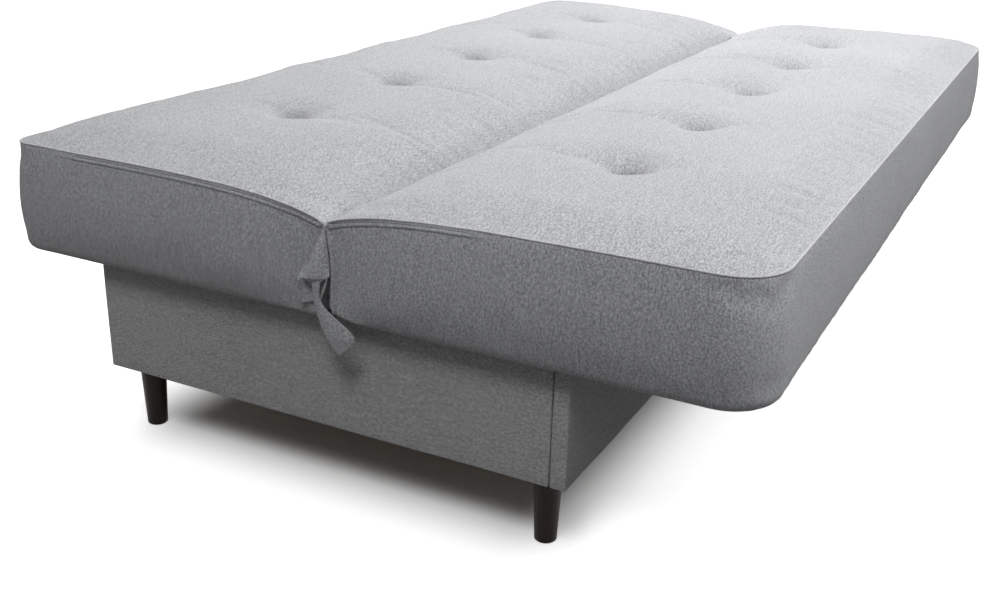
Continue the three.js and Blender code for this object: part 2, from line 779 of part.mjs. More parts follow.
function carriage() {
  const group = new THREE.Group();
  group.position.set(0, creaseY, pivotHeight);
  const shape = plateShape();
  const shoe = shoeShape();
  const footZ = boxTop - channelDrop - channelHeight / 2 - pivotHeight;
  const pinLength = seatArmInner + armThickness - plateOuter + plateThickness + 2 * touchGap;
  const pawlPinLength = plateThickness + pawlThickness + 2 * touchGap;
  for (const [side, end] of [["left", -1], ["right", 1]]) {
    const plateStart = end > 0 ? plateOuter - plateThickness : -plateOuter;
    const plate = alongBed(shape, plateStart, plateStart + plateThickness, 10);
    part(group, `${side}_carriage_plate`, plate, blackSteel);

    for (const [place, shift] of [["front", -1], ["rear", 1]]) {
      const start = end > 0 ? plateOuter + touchGap : -plateOuter - touchGap - shoeWidth;
      const block = alongBed(shoe, start, start + shoeWidth, 4);
      part(group, `${side}_${place}_guide_shoe`, block, nylon, 0, (shift * shoeSpacing) / 2, footZ);
    }
    const inner = plateOuter - plateThickness - touchGap;
    const pivot = part(group, `${side}_pivot_pin`, headedPin(pinLength, true), zincSteel, end * inner);
    const shortPin = headedPin(pawlPinLength, false);
    const pawlPin = part(group, `${side}_pawl_pin`, shortPin, zincSteel, end * inner, -pawlReach, -pawlDrop);
    if (end < 0) {
      pivot.rotation.z = Math.PI;
      pawlPin.rotation.z = Math.PI;
    }
    const pawlStart = end > 0 ? plateOuter + touchGap : -plateOuter - touchGap - pawlThickness;
    const hook = alongBed(pawlShape(), pawlStart, pawlStart + pawlThickness);
    const pawl = part(group, `${side}_pawl`, hook, zincSteel, 0, -pawlReach, -pawlDrop);
    pawl.rotation.x = -degrees(pawlReleaseAngle);
    part(group, `${side}_side_gusset`, sideGusset(end), cloth, end * (halfBed + gussetStandOff));
  }
  part(group, "cross_tube", crossTube(), blackSteel, 0, 0, padBottom + liningThickness - pivotHeight);
  return group;
}

const sofaBed = new THREE.Group();
sofaBed.add(storageBox());
sofaBed.add(carriage());
sofaBed.add(
  mattressHalf({
    name: "seat",
    depth: seatDepth,
    cornerRadius: seatCornerRadius,
    tuftDepth: seatTuftDepth,
    armInner: seatArmInner,
    withRatchet: false,
    turned: true,
  }),
);
sofaBed.add(
  mattressHalf({
    name: "back",
    depth: backDepth,
    cornerRadius: backCornerRadius,
    tuftDepth: backTuftDepth,
    armInner: backArmInner,
    withRatchet: true,
    turned: false,
  }),
);

export default sofaBed;
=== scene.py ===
import json
import math

import bmesh
import bpy
import numpy as np
from mathutils import Matrix, Vector, noise
from mathutils.bvhtree import BVHTree


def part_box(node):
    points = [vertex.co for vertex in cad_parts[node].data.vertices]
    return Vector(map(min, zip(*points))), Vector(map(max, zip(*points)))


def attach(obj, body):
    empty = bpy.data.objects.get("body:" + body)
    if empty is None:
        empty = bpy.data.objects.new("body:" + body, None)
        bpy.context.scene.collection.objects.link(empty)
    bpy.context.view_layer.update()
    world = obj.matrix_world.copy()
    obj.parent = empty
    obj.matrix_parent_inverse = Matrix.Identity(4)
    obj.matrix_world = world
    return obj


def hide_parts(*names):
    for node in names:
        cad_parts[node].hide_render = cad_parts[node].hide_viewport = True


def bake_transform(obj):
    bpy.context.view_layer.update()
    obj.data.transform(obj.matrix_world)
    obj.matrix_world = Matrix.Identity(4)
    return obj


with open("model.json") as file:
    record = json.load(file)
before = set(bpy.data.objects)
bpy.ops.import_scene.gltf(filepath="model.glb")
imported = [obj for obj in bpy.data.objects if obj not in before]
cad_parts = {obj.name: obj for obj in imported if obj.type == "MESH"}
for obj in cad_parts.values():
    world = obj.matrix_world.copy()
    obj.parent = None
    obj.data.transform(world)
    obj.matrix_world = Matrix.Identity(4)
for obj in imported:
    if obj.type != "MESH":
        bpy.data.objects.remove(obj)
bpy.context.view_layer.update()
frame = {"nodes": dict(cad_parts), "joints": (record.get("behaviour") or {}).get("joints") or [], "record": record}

# Click clack sofa bed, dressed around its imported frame.
# Metres: X runs along the bed, -Y is the sofa's front and +Z is up.

bl_info = {
    "name": "Click clack sofa bed",
    "version": (1, 0, 0),
    "blender": (4, 5, 0),
    "location": "View3D > Sidebar > Sofa bed",
    "description": "Builds the padding, cover, box and stage of a click clack sofa bed",
    "category": "Add Mesh",
}

# Places taken from the frame

HINGE = Vector(next(j["pos_m"] for j in frame["joints"] if j["name"] == "back_fold"))
PAD_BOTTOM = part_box("seat_pad")[0].z
BOX_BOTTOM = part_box("left_end_panel")[0].z
ENDS = {"left": -1, "right": 1}

WEAVE_MAP = "weave"
PAINTED_SHADE_LAYER = "soiled"  # one where a tuft or the crease is painted darker as shade, zero elsewhere
SEED = 7


def length(name, description, default):
    """A size in metres."""
    return bpy.props.FloatProperty(name=name, description=description, default=default, unit="LENGTH")


def amount(name, description, default):
    """A plain number, such as a share or a light's power."""
    return bpy.props.FloatProperty(name=name, description=description, default=default)


def colour(name, description, default):
    """A colour with its alpha."""
    return bpy.props.FloatVectorProperty(
        name=name, description=description, default=default, subtype="COLOR", size=4, min=0, max=1)


class SofaSizes(bpy.types.PropertyGroup):
    """Sizes of the padding, the cover and the box."""

    seam_length: length("Seam length", "Length of the bed between the top seams of its two ends", 1.96)
    seat_depth: length("Seat depth", "Depth of the seat half from the crease to its top seam", 0.62)
    back_depth: length("Back depth", "Depth of the back half from the crease to its top seam", 0.58)
    end_bulge: length("End bulge", "How far the end bands swell past the top seam", 0.016)
    side_bulge: length("Side bulge", "How far the long side bands swell past the top seam", 0.007)
    outer_fill: amount("Outer fill", "Share by which the back's crown is fuller at its outer side", 0.3)
    crown: length("Crown", "Rise of the padding from its seam to its middle", 0.028)
    seam_rise: length("Seam rise", "Height of the top seam above the hinge's axis", 0.044)
    crease_drop: length("Crease drop", "Depth of the crease below the top seam", 0.034)
    crease_reach: length("Crease reach", "How far the crease's slope runs into each half", 0.085)
    end_reach: length("End reach", "How far the crown takes to rise from an end", 0.06)
    side_reach: length("Side reach", "How far the crown takes to rise from a long side", 0.022)
    seat_corner_radius: length("Seat corner radius", "Radius of the seat half's outer corners", 0.072)
    back_corner_radius: length("Back corner radius", "Radius of the back half's outer corners", 0.032)
    crease_corner_radius: length("Crease corner radius", "Radius of the corners beside the crease", 0.008)
    shoulder_reach: length("Shoulder reach", "How far from the crease the crown has mostly risen", 0.075)
    hem_radius: length("Lower edge radius", "Radius of the padding's lower outer edges", 0.005)
    cell: length("Cloth cell", "Cell of the cloth before it is subdivided", 0.01)
    tuft_spacing: length("Tuft spacing", "Distance between sewn tufts", 0.32)
    seat_tuft_depth: length("Seat tuft depth", "How deep the seat's tufts are drawn in", 0.034)
    back_tuft_depth: length("Back tuft depth", "How deep the back's tufts are drawn in", 0.018)
    tuft_reach: length("Tuft reach", "How far a tuft's dimple spreads", 0.038)
    tuft_pinch: length("Tuft pinch", "How far the sharp middle of a tuft spreads", 0.011)
    crease_slope: length("Crease slope", "How far the back half's cover falls beside the crease", 0.014)
    crease_slope_reach: length("Crease slope reach", "How far that fall runs into the back half", 0.03)
    board_radius: length("Board edge radius", "Radius of the covered boards' edges", 0.0024)
    board_gap: length("Board gap", "Open joint between the front board and an end panel", 0.0016)
    seam_bead: length("Seam bead", "Radius of the folded edge along the top seam", 0.0016)
    seam_band: length("Seam allowance", "Width of the turned-in edge under the top seam", 0.0085)
    stitch_length: length("Stitch length", "Length of one stitch of the top seam", 0.0042)


class SofaColours(bpy.types.PropertyGroup):
    """Colours of the cloths and the strength of the light."""

    cloth_light: colour("Light yarn", "Lighter yarn of the mattress cloth", (0.8, 0.81, 0.835, 1))
    cloth_dark: colour("Dark yarn", "Darker yarn of the mattress cloth", (0.27, 0.275, 0.29, 1))
    box_light: colour("Box light yarn", "Lighter yarn of the box cloth", (0.82, 0.815, 0.83, 1))
    box_dark: colour("Box dark yarn", "Darker yarn of the box cloth", (0.27, 0.268, 0.275, 1))
    yarn: length("Yarn width", "Width of one yarn of the twill", 0.0008)
    key: amount("Key light", "Power of the soft box above the bed", 41)
    front: amount("Front light", "Power of the soft box in front of the bed", 68)
    near: amount("End light", "Power of the soft box off the near end", 37)
    sky: amount("Fill light", "Strength of the even light from all round", 0.15)
    # The floor's painted light: how strongly the floor glows round the box, over the shadow that the bed casts
    # there.
    floor_painted_light: amount("Floor painted light", "White that the floor shows outside the box's footprint", 0.68)


def sizes():
    return bpy.context.scene.sofa_sizes


def colours():
    return bpy.context.scene.sofa_colours


# Node helpers


def cleared(owner):
    """The node tree of a new material or world, without its first nodes."""
    owner.use_nodes = True
    owner.node_tree.nodes.clear()
    return owner.node_tree


def node(tree, kind, inputs=None, **settings):
    """Adds a shader node, with its settings and with values or links for its inputs."""
    made = tree.nodes.new("ShaderNode" + kind)
    for name, value in settings.items():
        setattr(made, name, value)
    for name, value in (inputs or {}).items():
        if isinstance(value, bpy.types.NodeSocket):
            tree.links.new(value, made.inputs[name])
        else:
            made.inputs[name].default_value = value
    return made


def maths(tree, operation, *values, clamp=False):
    """A Math node's output."""
    return node(tree, "Math", dict(enumerate(values)), operation=operation, use_clamp=clamp).outputs[0]


def swing(tree, value, strength):
    """A value from 0 to 1 as a change that goes as far below zero as above it."""
    return maths(tree, "MULTIPLY_ADD", value, strength, -strength / 2)


def multiplied(tree, vector, factors):
    """A vector whose parts are each multiplied by their own factor."""
    return node(tree, "VectorMath", {0: vector, 1: factors}, operation="MULTIPLY").outputs[0]


# A Mix node has sockets of its own for each type: 2 and 3 take values, 6 and 7 take colours.


def blend_values(tree, share, first, second):
    """A mix of two values."""
    return node(tree, "Mix", {0: share, 2: first, 3: second}, data_type="FLOAT").outputs[0]


def blend_colours(tree, share, first, second):
    """A mix of two colours."""
    return node(tree, "Mix", {0: share, 6: first, 7: second}, data_type="RGBA").outputs[2]


def group_tree(name, inputs, outputs):
    """A node group with named sockets, and the sockets of its input and output nodes."""
    tree = bpy.data.node_groups.new(name, "ShaderNodeTree")
    for direction, sockets in (("INPUT", inputs), ("OUTPUT", outputs)):
        for socket, kind in sockets.items():
            tree.interface.new_socket(socket, in_out=direction, socket_type=kind)
    return tree, tree.nodes.new("NodeGroupInput").outputs, tree.nodes.new("NodeGroupOutput").inputs


def group_node(tree, name, make, inputs):
    """The outputs of a node of the named group, which is made when it is first asked for."""
    group = bpy.data.node_groups.get(name) or make()
    return node(tree, "Group", inputs, node_tree=group).outputs


VECTOR, FLOAT, COLOUR = "NodeSocketVector", "NodeSocketFloat", "NodeSocketColor"

# What makes up the twill's shade, which is zero for the dark yarn's colour and one for the light yarn's

TWILL_BASE = 0.37
TWILL_HUMP = 0.2  # what the top of a yarn gains
TWILL_YARNS = 0.6  # how far single yarns differ
TWILL_WAYS = 0.46  # how far warp and weft differ
TWILL_FLECK = 5  # how many yarns a fleck of one shade runs past
TWILL_CLOUDS = (((430, 430, 1), 2.6), ((150, 330, 1), 1.3), ((25, 110, 1), 0.4))  # per metre, and strength


def twill_group():
    """Two over two twill of melange yarn, on places given in metres."""
    tree, inputs, outputs = group_tree(
        "melange twill",
        {"Place": VECTOR, "Yarn": FLOAT, "Dark": COLOUR, "Light": COLOUR},
        {"Color": COLOUR, "Height": FLOAT})
    apart = node(tree, "SeparateXYZ", {0: inputs["Place"]}).outputs
    across = [maths(tree, "DIVIDE", apart[axis], inputs["Yarn"]) for axis in (0, 1)]
    index = [maths(tree, "FLOOR", value) for value in across]
    hump = []
    for value in across:
        middle = maths(tree, "MULTIPLY_ADD", maths(tree, "FRACT", value), 2, -1)
        hump.append(maths(tree, "SUBTRACT", 1, maths(tree, "MULTIPLY", middle, middle)))
    # The twill repeats every four yarns, and the warp lies on top over two of them.
    step = maths(tree, "WRAP", maths(tree, "ADD", index[0], index[1]), 4, 0)
    warp_up = maths(tree, "LESS_THAN", step, 1.5)
    height = blend_values(tree, warp_up, hump[1], hump[0])

    yarns = []
    for along, own in ((1, 0), (0, 1)):
        fleck = maths(tree, "FLOOR", maths(tree, "DIVIDE", index[along], TWILL_FLECK))
        place = node(tree, "CombineXYZ", {0: index[own], 1: fleck, 2: 17 * own}).outputs[0]
        yarns.append(node(tree, "TexWhiteNoise", {"Vector": place}).outputs[0])
    parts = [
        swing(tree, blend_values(tree, warp_up, yarns[1], yarns[0]), TWILL_YARNS),
        swing(tree, warp_up, TWILL_WAYS),
    ]
    for stretch, strength in TWILL_CLOUDS:
        place = multiplied(tree, inputs["Place"], stretch)
        cloud = node(tree, "TexNoise", {"Vector": place, "Scale": 1, "Detail": 1})
        parts.append(swing(tree, cloud.outputs[0], strength))
    shade = maths(tree, "MULTIPLY_ADD", height, TWILL_HUMP, TWILL_BASE)
    for part in parts:
        shade = maths(tree, "ADD", shade, part)
    shade = maths(tree, "ADD", shade, 0, clamp=True)
    tree.links.new(blend_colours(tree, shade, inputs["Dark"], inputs["Light"]), outputs["Color"])
    tree.links.new(height, outputs["Height"])
    return tree


def grain_group():
    """Wood grain that runs along X, on object coordinates in metres."""
    tree, inputs, outputs = group_tree(
        "wood grain",
        {"Place": VECTOR, "Ring": FLOAT, "Dark": COLOUR, "Light": COLOUR},
        {"Color": COLOUR, "Height": FLOAT})
    stretched = multiplied(tree, inputs["Place"], (0.06, 1, 1))
    wander = node(tree, "TexNoise", {"Vector": stretched, "Scale": 14, "Detail": 3})
    pushed = node(tree, "VectorMath", {0: wander.outputs[1], 1: (0.03, 0.03, 0.03), 2: stretched},
                  operation="MULTIPLY_ADD")
    waves = node(
        tree, "TexWave",
        {"Vector": pushed.outputs[0], "Scale": inputs["Ring"], "Distortion": 1.2, "Detail": 2},
        wave_type="RINGS", rings_direction="X")
    pores = node(tree, "TexNoise", {"Vector": stretched, "Scale": 900, "Detail": 2})
    shade = maths(tree, "MULTIPLY_ADD", waves.outputs[1], 0.6, 0.05)
    shade = maths(tree, "ADD", shade, maths(tree, "MULTIPLY", pores.outputs[0], 0.4), clamp=True)
    tree.links.new(blend_colours(tree, shade, inputs["Dark"], inputs["Light"]), outputs["Color"])
    tree.links.new(shade, outputs["Height"])
    return tree


def wear_group():
    """Dust and rubbing over a finish: a mask of soft patches with fine specks."""
    tree, inputs, outputs = group_tree(
        "wear", {"Place": VECTOR, "Patch": FLOAT, "Amount": FLOAT}, {"Mask": FLOAT, "Height": FLOAT})
    patches = node(tree, "TexNoise", {"Vector": inputs["Place"], "Scale": inputs["Patch"], "Detail": 4})
    specks = node(tree, "TexNoise", {"Vector": inputs["Place"], "Scale": 1500, "Detail": 1})
    both = maths(tree, "MULTIPLY_ADD", specks.outputs[0], 0.4, patches.outputs[0])
    above = maths(tree, "SUBTRACT", both, 0.55, clamp=True)
    tree.links.new(maths(tree, "MULTIPLY", above, inputs["Amount"], clamp=True), outputs["Mask"])
    tree.links.new(specks.outputs[0], outputs["Height"])
    return tree


def material(name, roughness, metallic=0.0, **settings):
    """A material with one Principled shader, whose plain values are set on the shader itself."""
    tree = cleared(bpy.data.materials.new(name))
    shader = node(tree, "BsdfPrincipled", {"Roughness": roughness, "Metallic": metallic, **settings})
    node(tree, "OutputMaterial", {"Surface": shader.outputs[0]})
    return tree, shader


def place_of(tree, turned=(0, 0, 0)):
    """Object coordinates, turned so that a pattern's X lies along the piece."""
    place = node(tree, "TexCoord").outputs["Object"]
    return node(tree, "Mapping", {"Vector": place, "Rotation": turned}).outputs[0]


def dressed(tree, shader, colour, roughness, height, distance, strength):
    """Links a finish's colour, roughness and bump to its shader."""
    bump = node(tree, "Bump", {"Height": height, "Distance": distance, "Strength": strength})
    for socket, value in (("Base Color", colour), ("Roughness", roughness), ("Normal", bump.outputs[0])):
        tree.links.new(value, shader.inputs[socket])


def cloth_material(name, dark, light, yarn):
    """Woven upholstery cloth that follows the piece's own weave map, with shade painted darker in its tufts and
    beside the crease.
    """
    tree, shader = material(
        name, 0.92, **{"Specular IOR Level": 0.25, "Sheen Weight": 0.4, "Sheen Roughness": 0.45})
    place = node(tree, "UVMap", uv_map=WEAVE_MAP).outputs[0]
    twill = group_node(tree, "melange twill", twill_group,
                       {"Place": place, "Yarn": yarn, "Dark": dark, "Light": light})
    wear = group_node(tree, "wear", wear_group, {"Place": place_of(tree), "Patch": 3.5, "Amount": 0.5})
    faded = blend_colours(tree, wear["Mask"], twill["Color"], light)
    # Painted shade: the colour goes towards a darker copy of the dark yarn where the painted-shade layer is high,
    # in the tufts and beside the crease.
    painted_shade_share = maths(tree, "MULTIPLY", node(tree, "Attribute", attribute_name=PAINTED_SHADE_LAYER).outputs["Fac"], 0.6)
    painted_shade_colour = tuple(0.3 * value for value in dark[:3]) + (1,)
    dressed(tree, shader, blend_colours(tree, painted_shade_share, faded, painted_shade_colour),
            blend_values(tree, twill["Height"], 1.0, 0.84), twill["Height"], yarn, 0.5)


def wood_material(name, dark, light, ring, roughness, turned=(0, 0, 0), gloss=0.5):
    """Planed or stained wood with its grain along the piece."""
    tree, shader = material(name, roughness, **{"Specular IOR Level": gloss})
    grain = group_node(tree, "wood grain", grain_group,
                       {"Place": place_of(tree, turned), "Ring": ring, "Dark": dark, "Light": light})
    polish = blend_values(tree, grain["Height"], roughness + 0.1, roughness - 0.05)
    dressed(tree, shader, grain["Color"], polish, grain["Height"], 0.0003, 0.35)


def hard_material(name, colour, worn, roughness, metallic, patch, amount):
    """Steel, powder coat, nylon or thread, with soft patches of wear."""
    tree, shader = material(name, roughness, metallic)
    wear = group_node(tree, "wear", wear_group, {"Place": place_of(tree), "Patch": patch, "Amount": amount})
    dressed(tree, shader, blend_colours(tree, wear["Mask"], colour, worn),
            blend_values(tree, wear["Mask"], roughness, roughness + 0.2), wear["Height"], 0.0001, 0.3)


def finishes():
    """Every material of the sofa bed by its name, made once."""
    if bpy.data.materials.get("mattress cloth"):
        return bpy.data.materials
    look = colours()
    cloth_material("mattress cloth", tuple(look.cloth_dark), tuple(look.cloth_light), look.yarn)
    # Painted highlight: a paler copy of the mattress cloth for the seam's folded edge, as if that edge caught the
    # light.
    cloth_material("seam cloth", (0.5, 0.505, 0.52, 1), (0.88, 0.885, 0.9, 1), look.yarn)
    cloth_material("box cloth", tuple(look.box_dark), tuple(look.box_light), look.yarn)
    cloth_material("lining cloth", (0.02, 0.02, 0.022, 1), (0.06, 0.06, 0.065, 1), look.yarn * 0.6)
    pine = ((0.42, 0.26, 0.13, 1), (0.68, 0.5, 0.31, 1), 24, 0.62)
    wood_material("pine", *pine)
    wood_material("pine across", *pine, (0, 0, math.pi / 2))
    wood_material("birch board", (0.5, 0.35, 0.2, 1), (0.66, 0.5, 0.33, 1), 9, 0.7)
    wood_material("dark beech", (0.003, 0.0015, 0.001, 1), (0.012, 0.005, 0.003, 1), 60, 0.45,
                  (0, math.pi / 2, 0), 0.15)
    hard_material("zinc steel", (0.5, 0.51, 0.52, 1), (0.34, 0.35, 0.36, 1), 0.34, 1.0, 60, 0.9)
    hard_material("black steel", (0.025, 0.025, 0.027, 1), (0.1, 0.1, 0.105, 1), 0.42, 0.0, 30, 0.5)
    hard_material("nylon", (0.72, 0.71, 0.66, 1), (0.5, 0.49, 0.45, 1), 0.45, 0.0, 40, 0.5)
    hard_material("seam thread", (0.035, 0.035, 0.038, 1), (0.12, 0.12, 0.125, 1), 0.85, 0.0, 90, 0.8)
    return bpy.data.materials


# Mesh helpers


def linked(name, data):
    """A new object in the scene."""
    made = bpy.data.objects.new(name, data)
    bpy.context.scene.collection.objects.link(made)
    return made


def finished(name, bm, finish):
    """Turns a bmesh into a smooth piece with its finish."""
    mesh = bpy.data.meshes.new(name)
    bm.to_mesh(mesh)
    bm.free()
    mesh.shade_smooth()
    mesh.materials.append(finishes()[finish])
    piece = linked(name, mesh)
    return piece


def settle(piece):
    """Applies the piece's modifiers to its mesh."""
    bpy.context.view_layer.update()
    graph = bpy.context.evaluated_depsgraph_get()
    mesh = bpy.data.meshes.new_from_object(piece.evaluated_get(graph), depsgraph=graph)
    piece.modifiers.clear()
    piece.data = mesh


def triples(rows, name):
    found = np.zeros(len(rows) * 3)
    rows.foreach_get(name, found)
    return found.reshape(-1, 3)


def places(mesh):
    return triples(mesh.vertices, "co")


def normals(mesh):
    return triples(mesh.vertex_normals, "vector")


def move_to(mesh, found):
    mesh.vertices.foreach_set("co", found.ravel())
    mesh.update()


def cut_along(bm, axis, cells):
    """Cuts every edge that runs along one axis into that many cells."""
    others = [other for other in range(3) if other != axis]
    edges = []
    for edge in bm.edges:
        run = edge.verts[0].co - edge.verts[1].co
        if abs(run[axis]) > 1e-6 and all(abs(run[other]) < 1e-6 for other in others):
            edges.append(edge)
    bmesh.ops.subdivide_edges(bm, edges=edges, cuts=cells - 1, use_grid_fill=True)


def celled_block(counts):
    """A closed block, one unit each way, cut into cells."""
    bm = bmesh.new()
    bmesh.ops.create_cube(bm, size=1)
    for axis, cells in enumerate(counts):
        cut_along(bm, axis, cells)
    return bm


def strip(bm, rows, closed):
    """Joins rows of vertices into one skin."""
    for before, after in zip(rows, rows[1:]):
        pairs = list(zip(range(len(before)), range(1, len(before))))
        if closed:
            pairs.append((len(before) - 1, 0))
        for a, b in pairs:
            bm.faces.new((before[a], before[b], after[b], after[a]))


def weave_flat(mesh):
    """Lays the weave on each face by the way that it looks."""
    layer = mesh.uv_layers.new(name=WEAVE_MAP)
    for polygon in mesh.polygons:
        facing = max(range(3), key=lambda axis: abs(polygon.normal[axis]))
        u, v = ((1, 2), (0, 2), (0, 1))[facing]
        for corner in polygon.loop_indices:
            place = mesh.vertices[mesh.loops[corner].vertex_index].co
            layer.data[corner].uv = (place[u], place[v])


def smooth_step(value, low, high):
    share = np.clip((value - low) / (high - low), 0, 1)
    return share * share * (3 - 2 * share)


def hill(value, middle, reach):
    """One at the middle, falling away on both sides."""
    return np.exp(-(((value - middle) / reach) ** 2))


def unevenness(found, *waves):
    """Slow waves of padding or cloth. Each is given by its count per metre, its seed and its height."""
    total = 0
    for scale, seed, height in waves:
        shift = Vector((seed * 3.1, seed * 1.7, 0))
        total = total + np.array([noise.noise(Vector(place) * scale + shift) for place in found]) * height
    return total


# Padding

# How far a half's lower edge rounds off beside the crease, along and up
SEAT_FOOT = (0.044, 0.022)
BACK_FOOT = (0.018, 0.045)

SWELL_POWER = 0.8  # below one, it puts a band's widest place under its middle
CREASE_FLAT = 0.09  # how near the crease an end band lies flatter
CORNER_FLAT = 0.07  # how near the outer corner it does so, and by which share
CORNER_FLAT_SHARE = 0.7
LOW_SWELL = 0.9  # share of its bulge that a side band keeps at its lower edge
HEM_SHARE = 0.8  # share of its radius that the lower edge draws in

BLOCK_EDGE = 0.4999  # in a unit block, what lies past this is on a face
BLOCK_LAYERS = 16

# The simulation that fills a cover with padding. It starts from a lower crown, and a cap holds the
# movement of each point, because pressure alone would blow the cover up like a balloon.
CLOTH = {
    "quality": 5, "mass": 0.3, "tension_stiffness": 15, "compression_stiffness": 15, "shear_stiffness": 5,
    "bending_stiffness": 0.5, "shrink_min": -0.01, "use_pressure": True, "uniform_pressure_force": 4,
}
CLOTH_FRAMES = 20
UNFILLED_CROWN = 0.6
TOP_CAP = 0.012
SIDE_CAP = 0.0025


class Half:
    """One padded half of the mattress, measured from the hinge's axis with its depth positive."""

    def __init__(self, name, depth, corner_radius, tuft_depth, foot, away):
        self.name = name
        self.depth = depth
        self.corner_radius = corner_radius
        self.tuft_depth = tuft_depth
        self.foot = foot
        self.away = away  # +1 towards the rear and -1 towards the front
        self.half_bed = sizes().seam_length / 2
        self.tufts = [place * sizes().tuft_spacing for place in (-2, -1, 0, 1, 2)]
        self.chance = np.random.default_rng(SEED + (1 if away > 0 else 0))

    def top(self, x, d, crown):
        """Height of the cover above the hinge's axis."""
        size = sizes()
        edge = 1 - np.exp(-(self.depth - d) / size.side_reach)
        end = 1 - np.exp(-(self.half_bed - np.abs(x)) / size.end_reach)
        shoulder = 1 - np.exp(-((np.maximum(d, 0) / size.shoulder_reach) ** 1.6))
        fuller = 1 + (size.outer_fill if self.away > 0 else 0) * np.clip(d / self.depth, 0, 1) ** 2
        raised = crown * fuller * edge * end * shoulder
        return size.seam_rise + raised - size.crease_drop * np.exp(-d / size.crease_reach)

    def outline(self, x, d):
        """Moves the places of the outline's square corners on to their arcs."""
        size = sizes()
        corners = (
            (self.corner_radius, self.depth - self.corner_radius, 1),
            (size.crease_corner_radius, size.crease_corner_radius, -1),
        )
        for radius, centre_d, outer in corners:
            centre_x = self.half_bed - radius
            dx, dd = np.abs(x) - centre_x, (d - centre_d) * outer
            inside = (dx > 0) & (dd > 0)
            scale = np.where(inside, np.maximum(dx, dd) / np.maximum(np.hypot(dx, dd), 1e-9), 1)
            x = np.where(inside, np.sign(x) * (centre_x + dx * scale), x)
            d = np.where(inside, centre_d + outer * dd * scale, d)
        return x, d

    def shaped(self, unit, crown):
        """Places of the padding for places of a unit block."""
        size = sizes()
        x = unit[:, 0] * 2 * self.half_bed
        d = (unit[:, 1] + 0.5) * self.depth
        share = unit[:, 2] + 0.5
        bottom = PAD_BOTTOM - HINGE.z
        height = (self.top(x, d, crown) - bottom) * share
        px, pd = self.outline(x, d)
        swell = np.sin(np.pi * np.clip(share, 0, 1) ** SWELL_POWER)
        flat = CORNER_FLAT_SHARE * np.exp(-(self.depth - d) / CORNER_FLAT)
        end_swell = size.end_bulge * swell * (1 - hill(d, 0, CREASE_FLAT)) * (1 - flat)
        side_swell = size.side_bulge * np.maximum(swell, LOW_SWELL * (1 - share))
        under = np.clip(1 - height / size.hem_radius, 0, 1)
        tuck = size.hem_radius * (1 - np.sqrt(1 - under**2)) * HEM_SHARE
        px = px * (1 + (end_swell - tuck) / self.half_bed)
        pd = pd + (side_swell - tuck) * d / self.depth
        foot_reach, foot_rise = self.foot
        above = np.clip(1 - height / foot_rise, 0, 1)
        pd = pd + foot_reach * (1 - np.sqrt(1 - above**2)) * (1 - d / self.depth)
        return px, pd, height + bottom

    def placed(self, x, d, height):
        return np.column_stack([x, HINGE.y + self.away * d, HINGE.z + height])

    def band_run(self, x, d):
        """Distance along the side band from the middle of the outer side."""
        across, radius, inner = np.abs(x), self.corner_radius, sizes().crease_corner_radius
        straight = self.half_bed - radius
        corner_end = straight + radius * math.pi / 2
        turn = np.arctan2(np.maximum(across - straight, 0), np.maximum(d - (self.depth - radius), 1e-6))
        run = np.where(d > self.depth - radius, np.minimum(across, straight) + radius * turn,
                       corner_end + (self.depth - radius - d))
        beside_crease = corner_end + self.depth - radius - inner + (self.half_bed - across)
        return np.sign(x) * np.where(d < inner, beside_crease, run)


def pinned_weights(half, unit):
    """How firmly each point of the cover is held: seams, crease, underside and tufts."""
    x = unit[:, 0] * 2 * half.half_bed
    d = (unit[:, 1] + 0.5) * half.depth
    top = unit[:, 2] > BLOCK_EDGE
    weights = np.zeros(len(unit))
    weights[top & ((np.abs(unit[:, 0]) > BLOCK_EDGE) | (unit[:, 1] > BLOCK_EDGE))] = 1
    weights[(unit[:, 2] < -BLOCK_EDGE) | (unit[:, 1] < -BLOCK_EDGE)] = 1
    for tuft in half.tufts:
        away = np.hypot(x - tuft, d - half.depth / 2)
        away[~top] = 1
        weights[np.argsort(away)[:4]] = 1
    return weights


def inflate(piece, weights, caps):
    """Fills the cover with padding by a cloth simulation whose movement is capped at each point."""
    start = places(piece.data)
    held = piece.vertex_groups.new(name="held")
    for index in np.flatnonzero(weights):
        held.add([int(index)], float(weights[index]), "REPLACE")
    settings = piece.modifiers.new("Padding", "CLOTH").settings
    for name, value in CLOTH.items():
        setattr(settings, name, value)
    settings.vertex_group_mass = held.name
    settings.effector_weights.gravity = 0
    scene = bpy.context.scene
    for number in range(1, CLOTH_FRAMES + 1):
        scene.frame_set(number)
    settle(piece)
    scene.frame_set(1)
    piece.vertex_groups.clear()
    moved = places(piece.data) - start
    far = np.linalg.norm(moved, axis=1, keepdims=True)
    move_to(piece.data, start + moved * np.minimum(1, caps[:, None] / np.maximum(far, 1e-9)))


# Shares of a tuft's depth: its wide dimple, its sharp middle, each wrinkle that leaves it, and the
# shallow valley along the row of tufts
DIMPLE_SHARE = 0.72
PINCH_SHARE = 0.5
WRINKLE_SHARE = 0.09
ROW_SHARE = 0.1

# A point of the cover starts to count as facing up or outwards at the first value, and fully does at
# the second
FACING_UP = (0.35, 0.7)
FACING_OUT = (0.5, 0.85)

# The hollow that the gusset draws into each half's end band: its depth, place and reach
END_HOLLOW = {"seat": (0.004, 0.027, 0.01), "back": (0.002, 0.05, 0.012)}


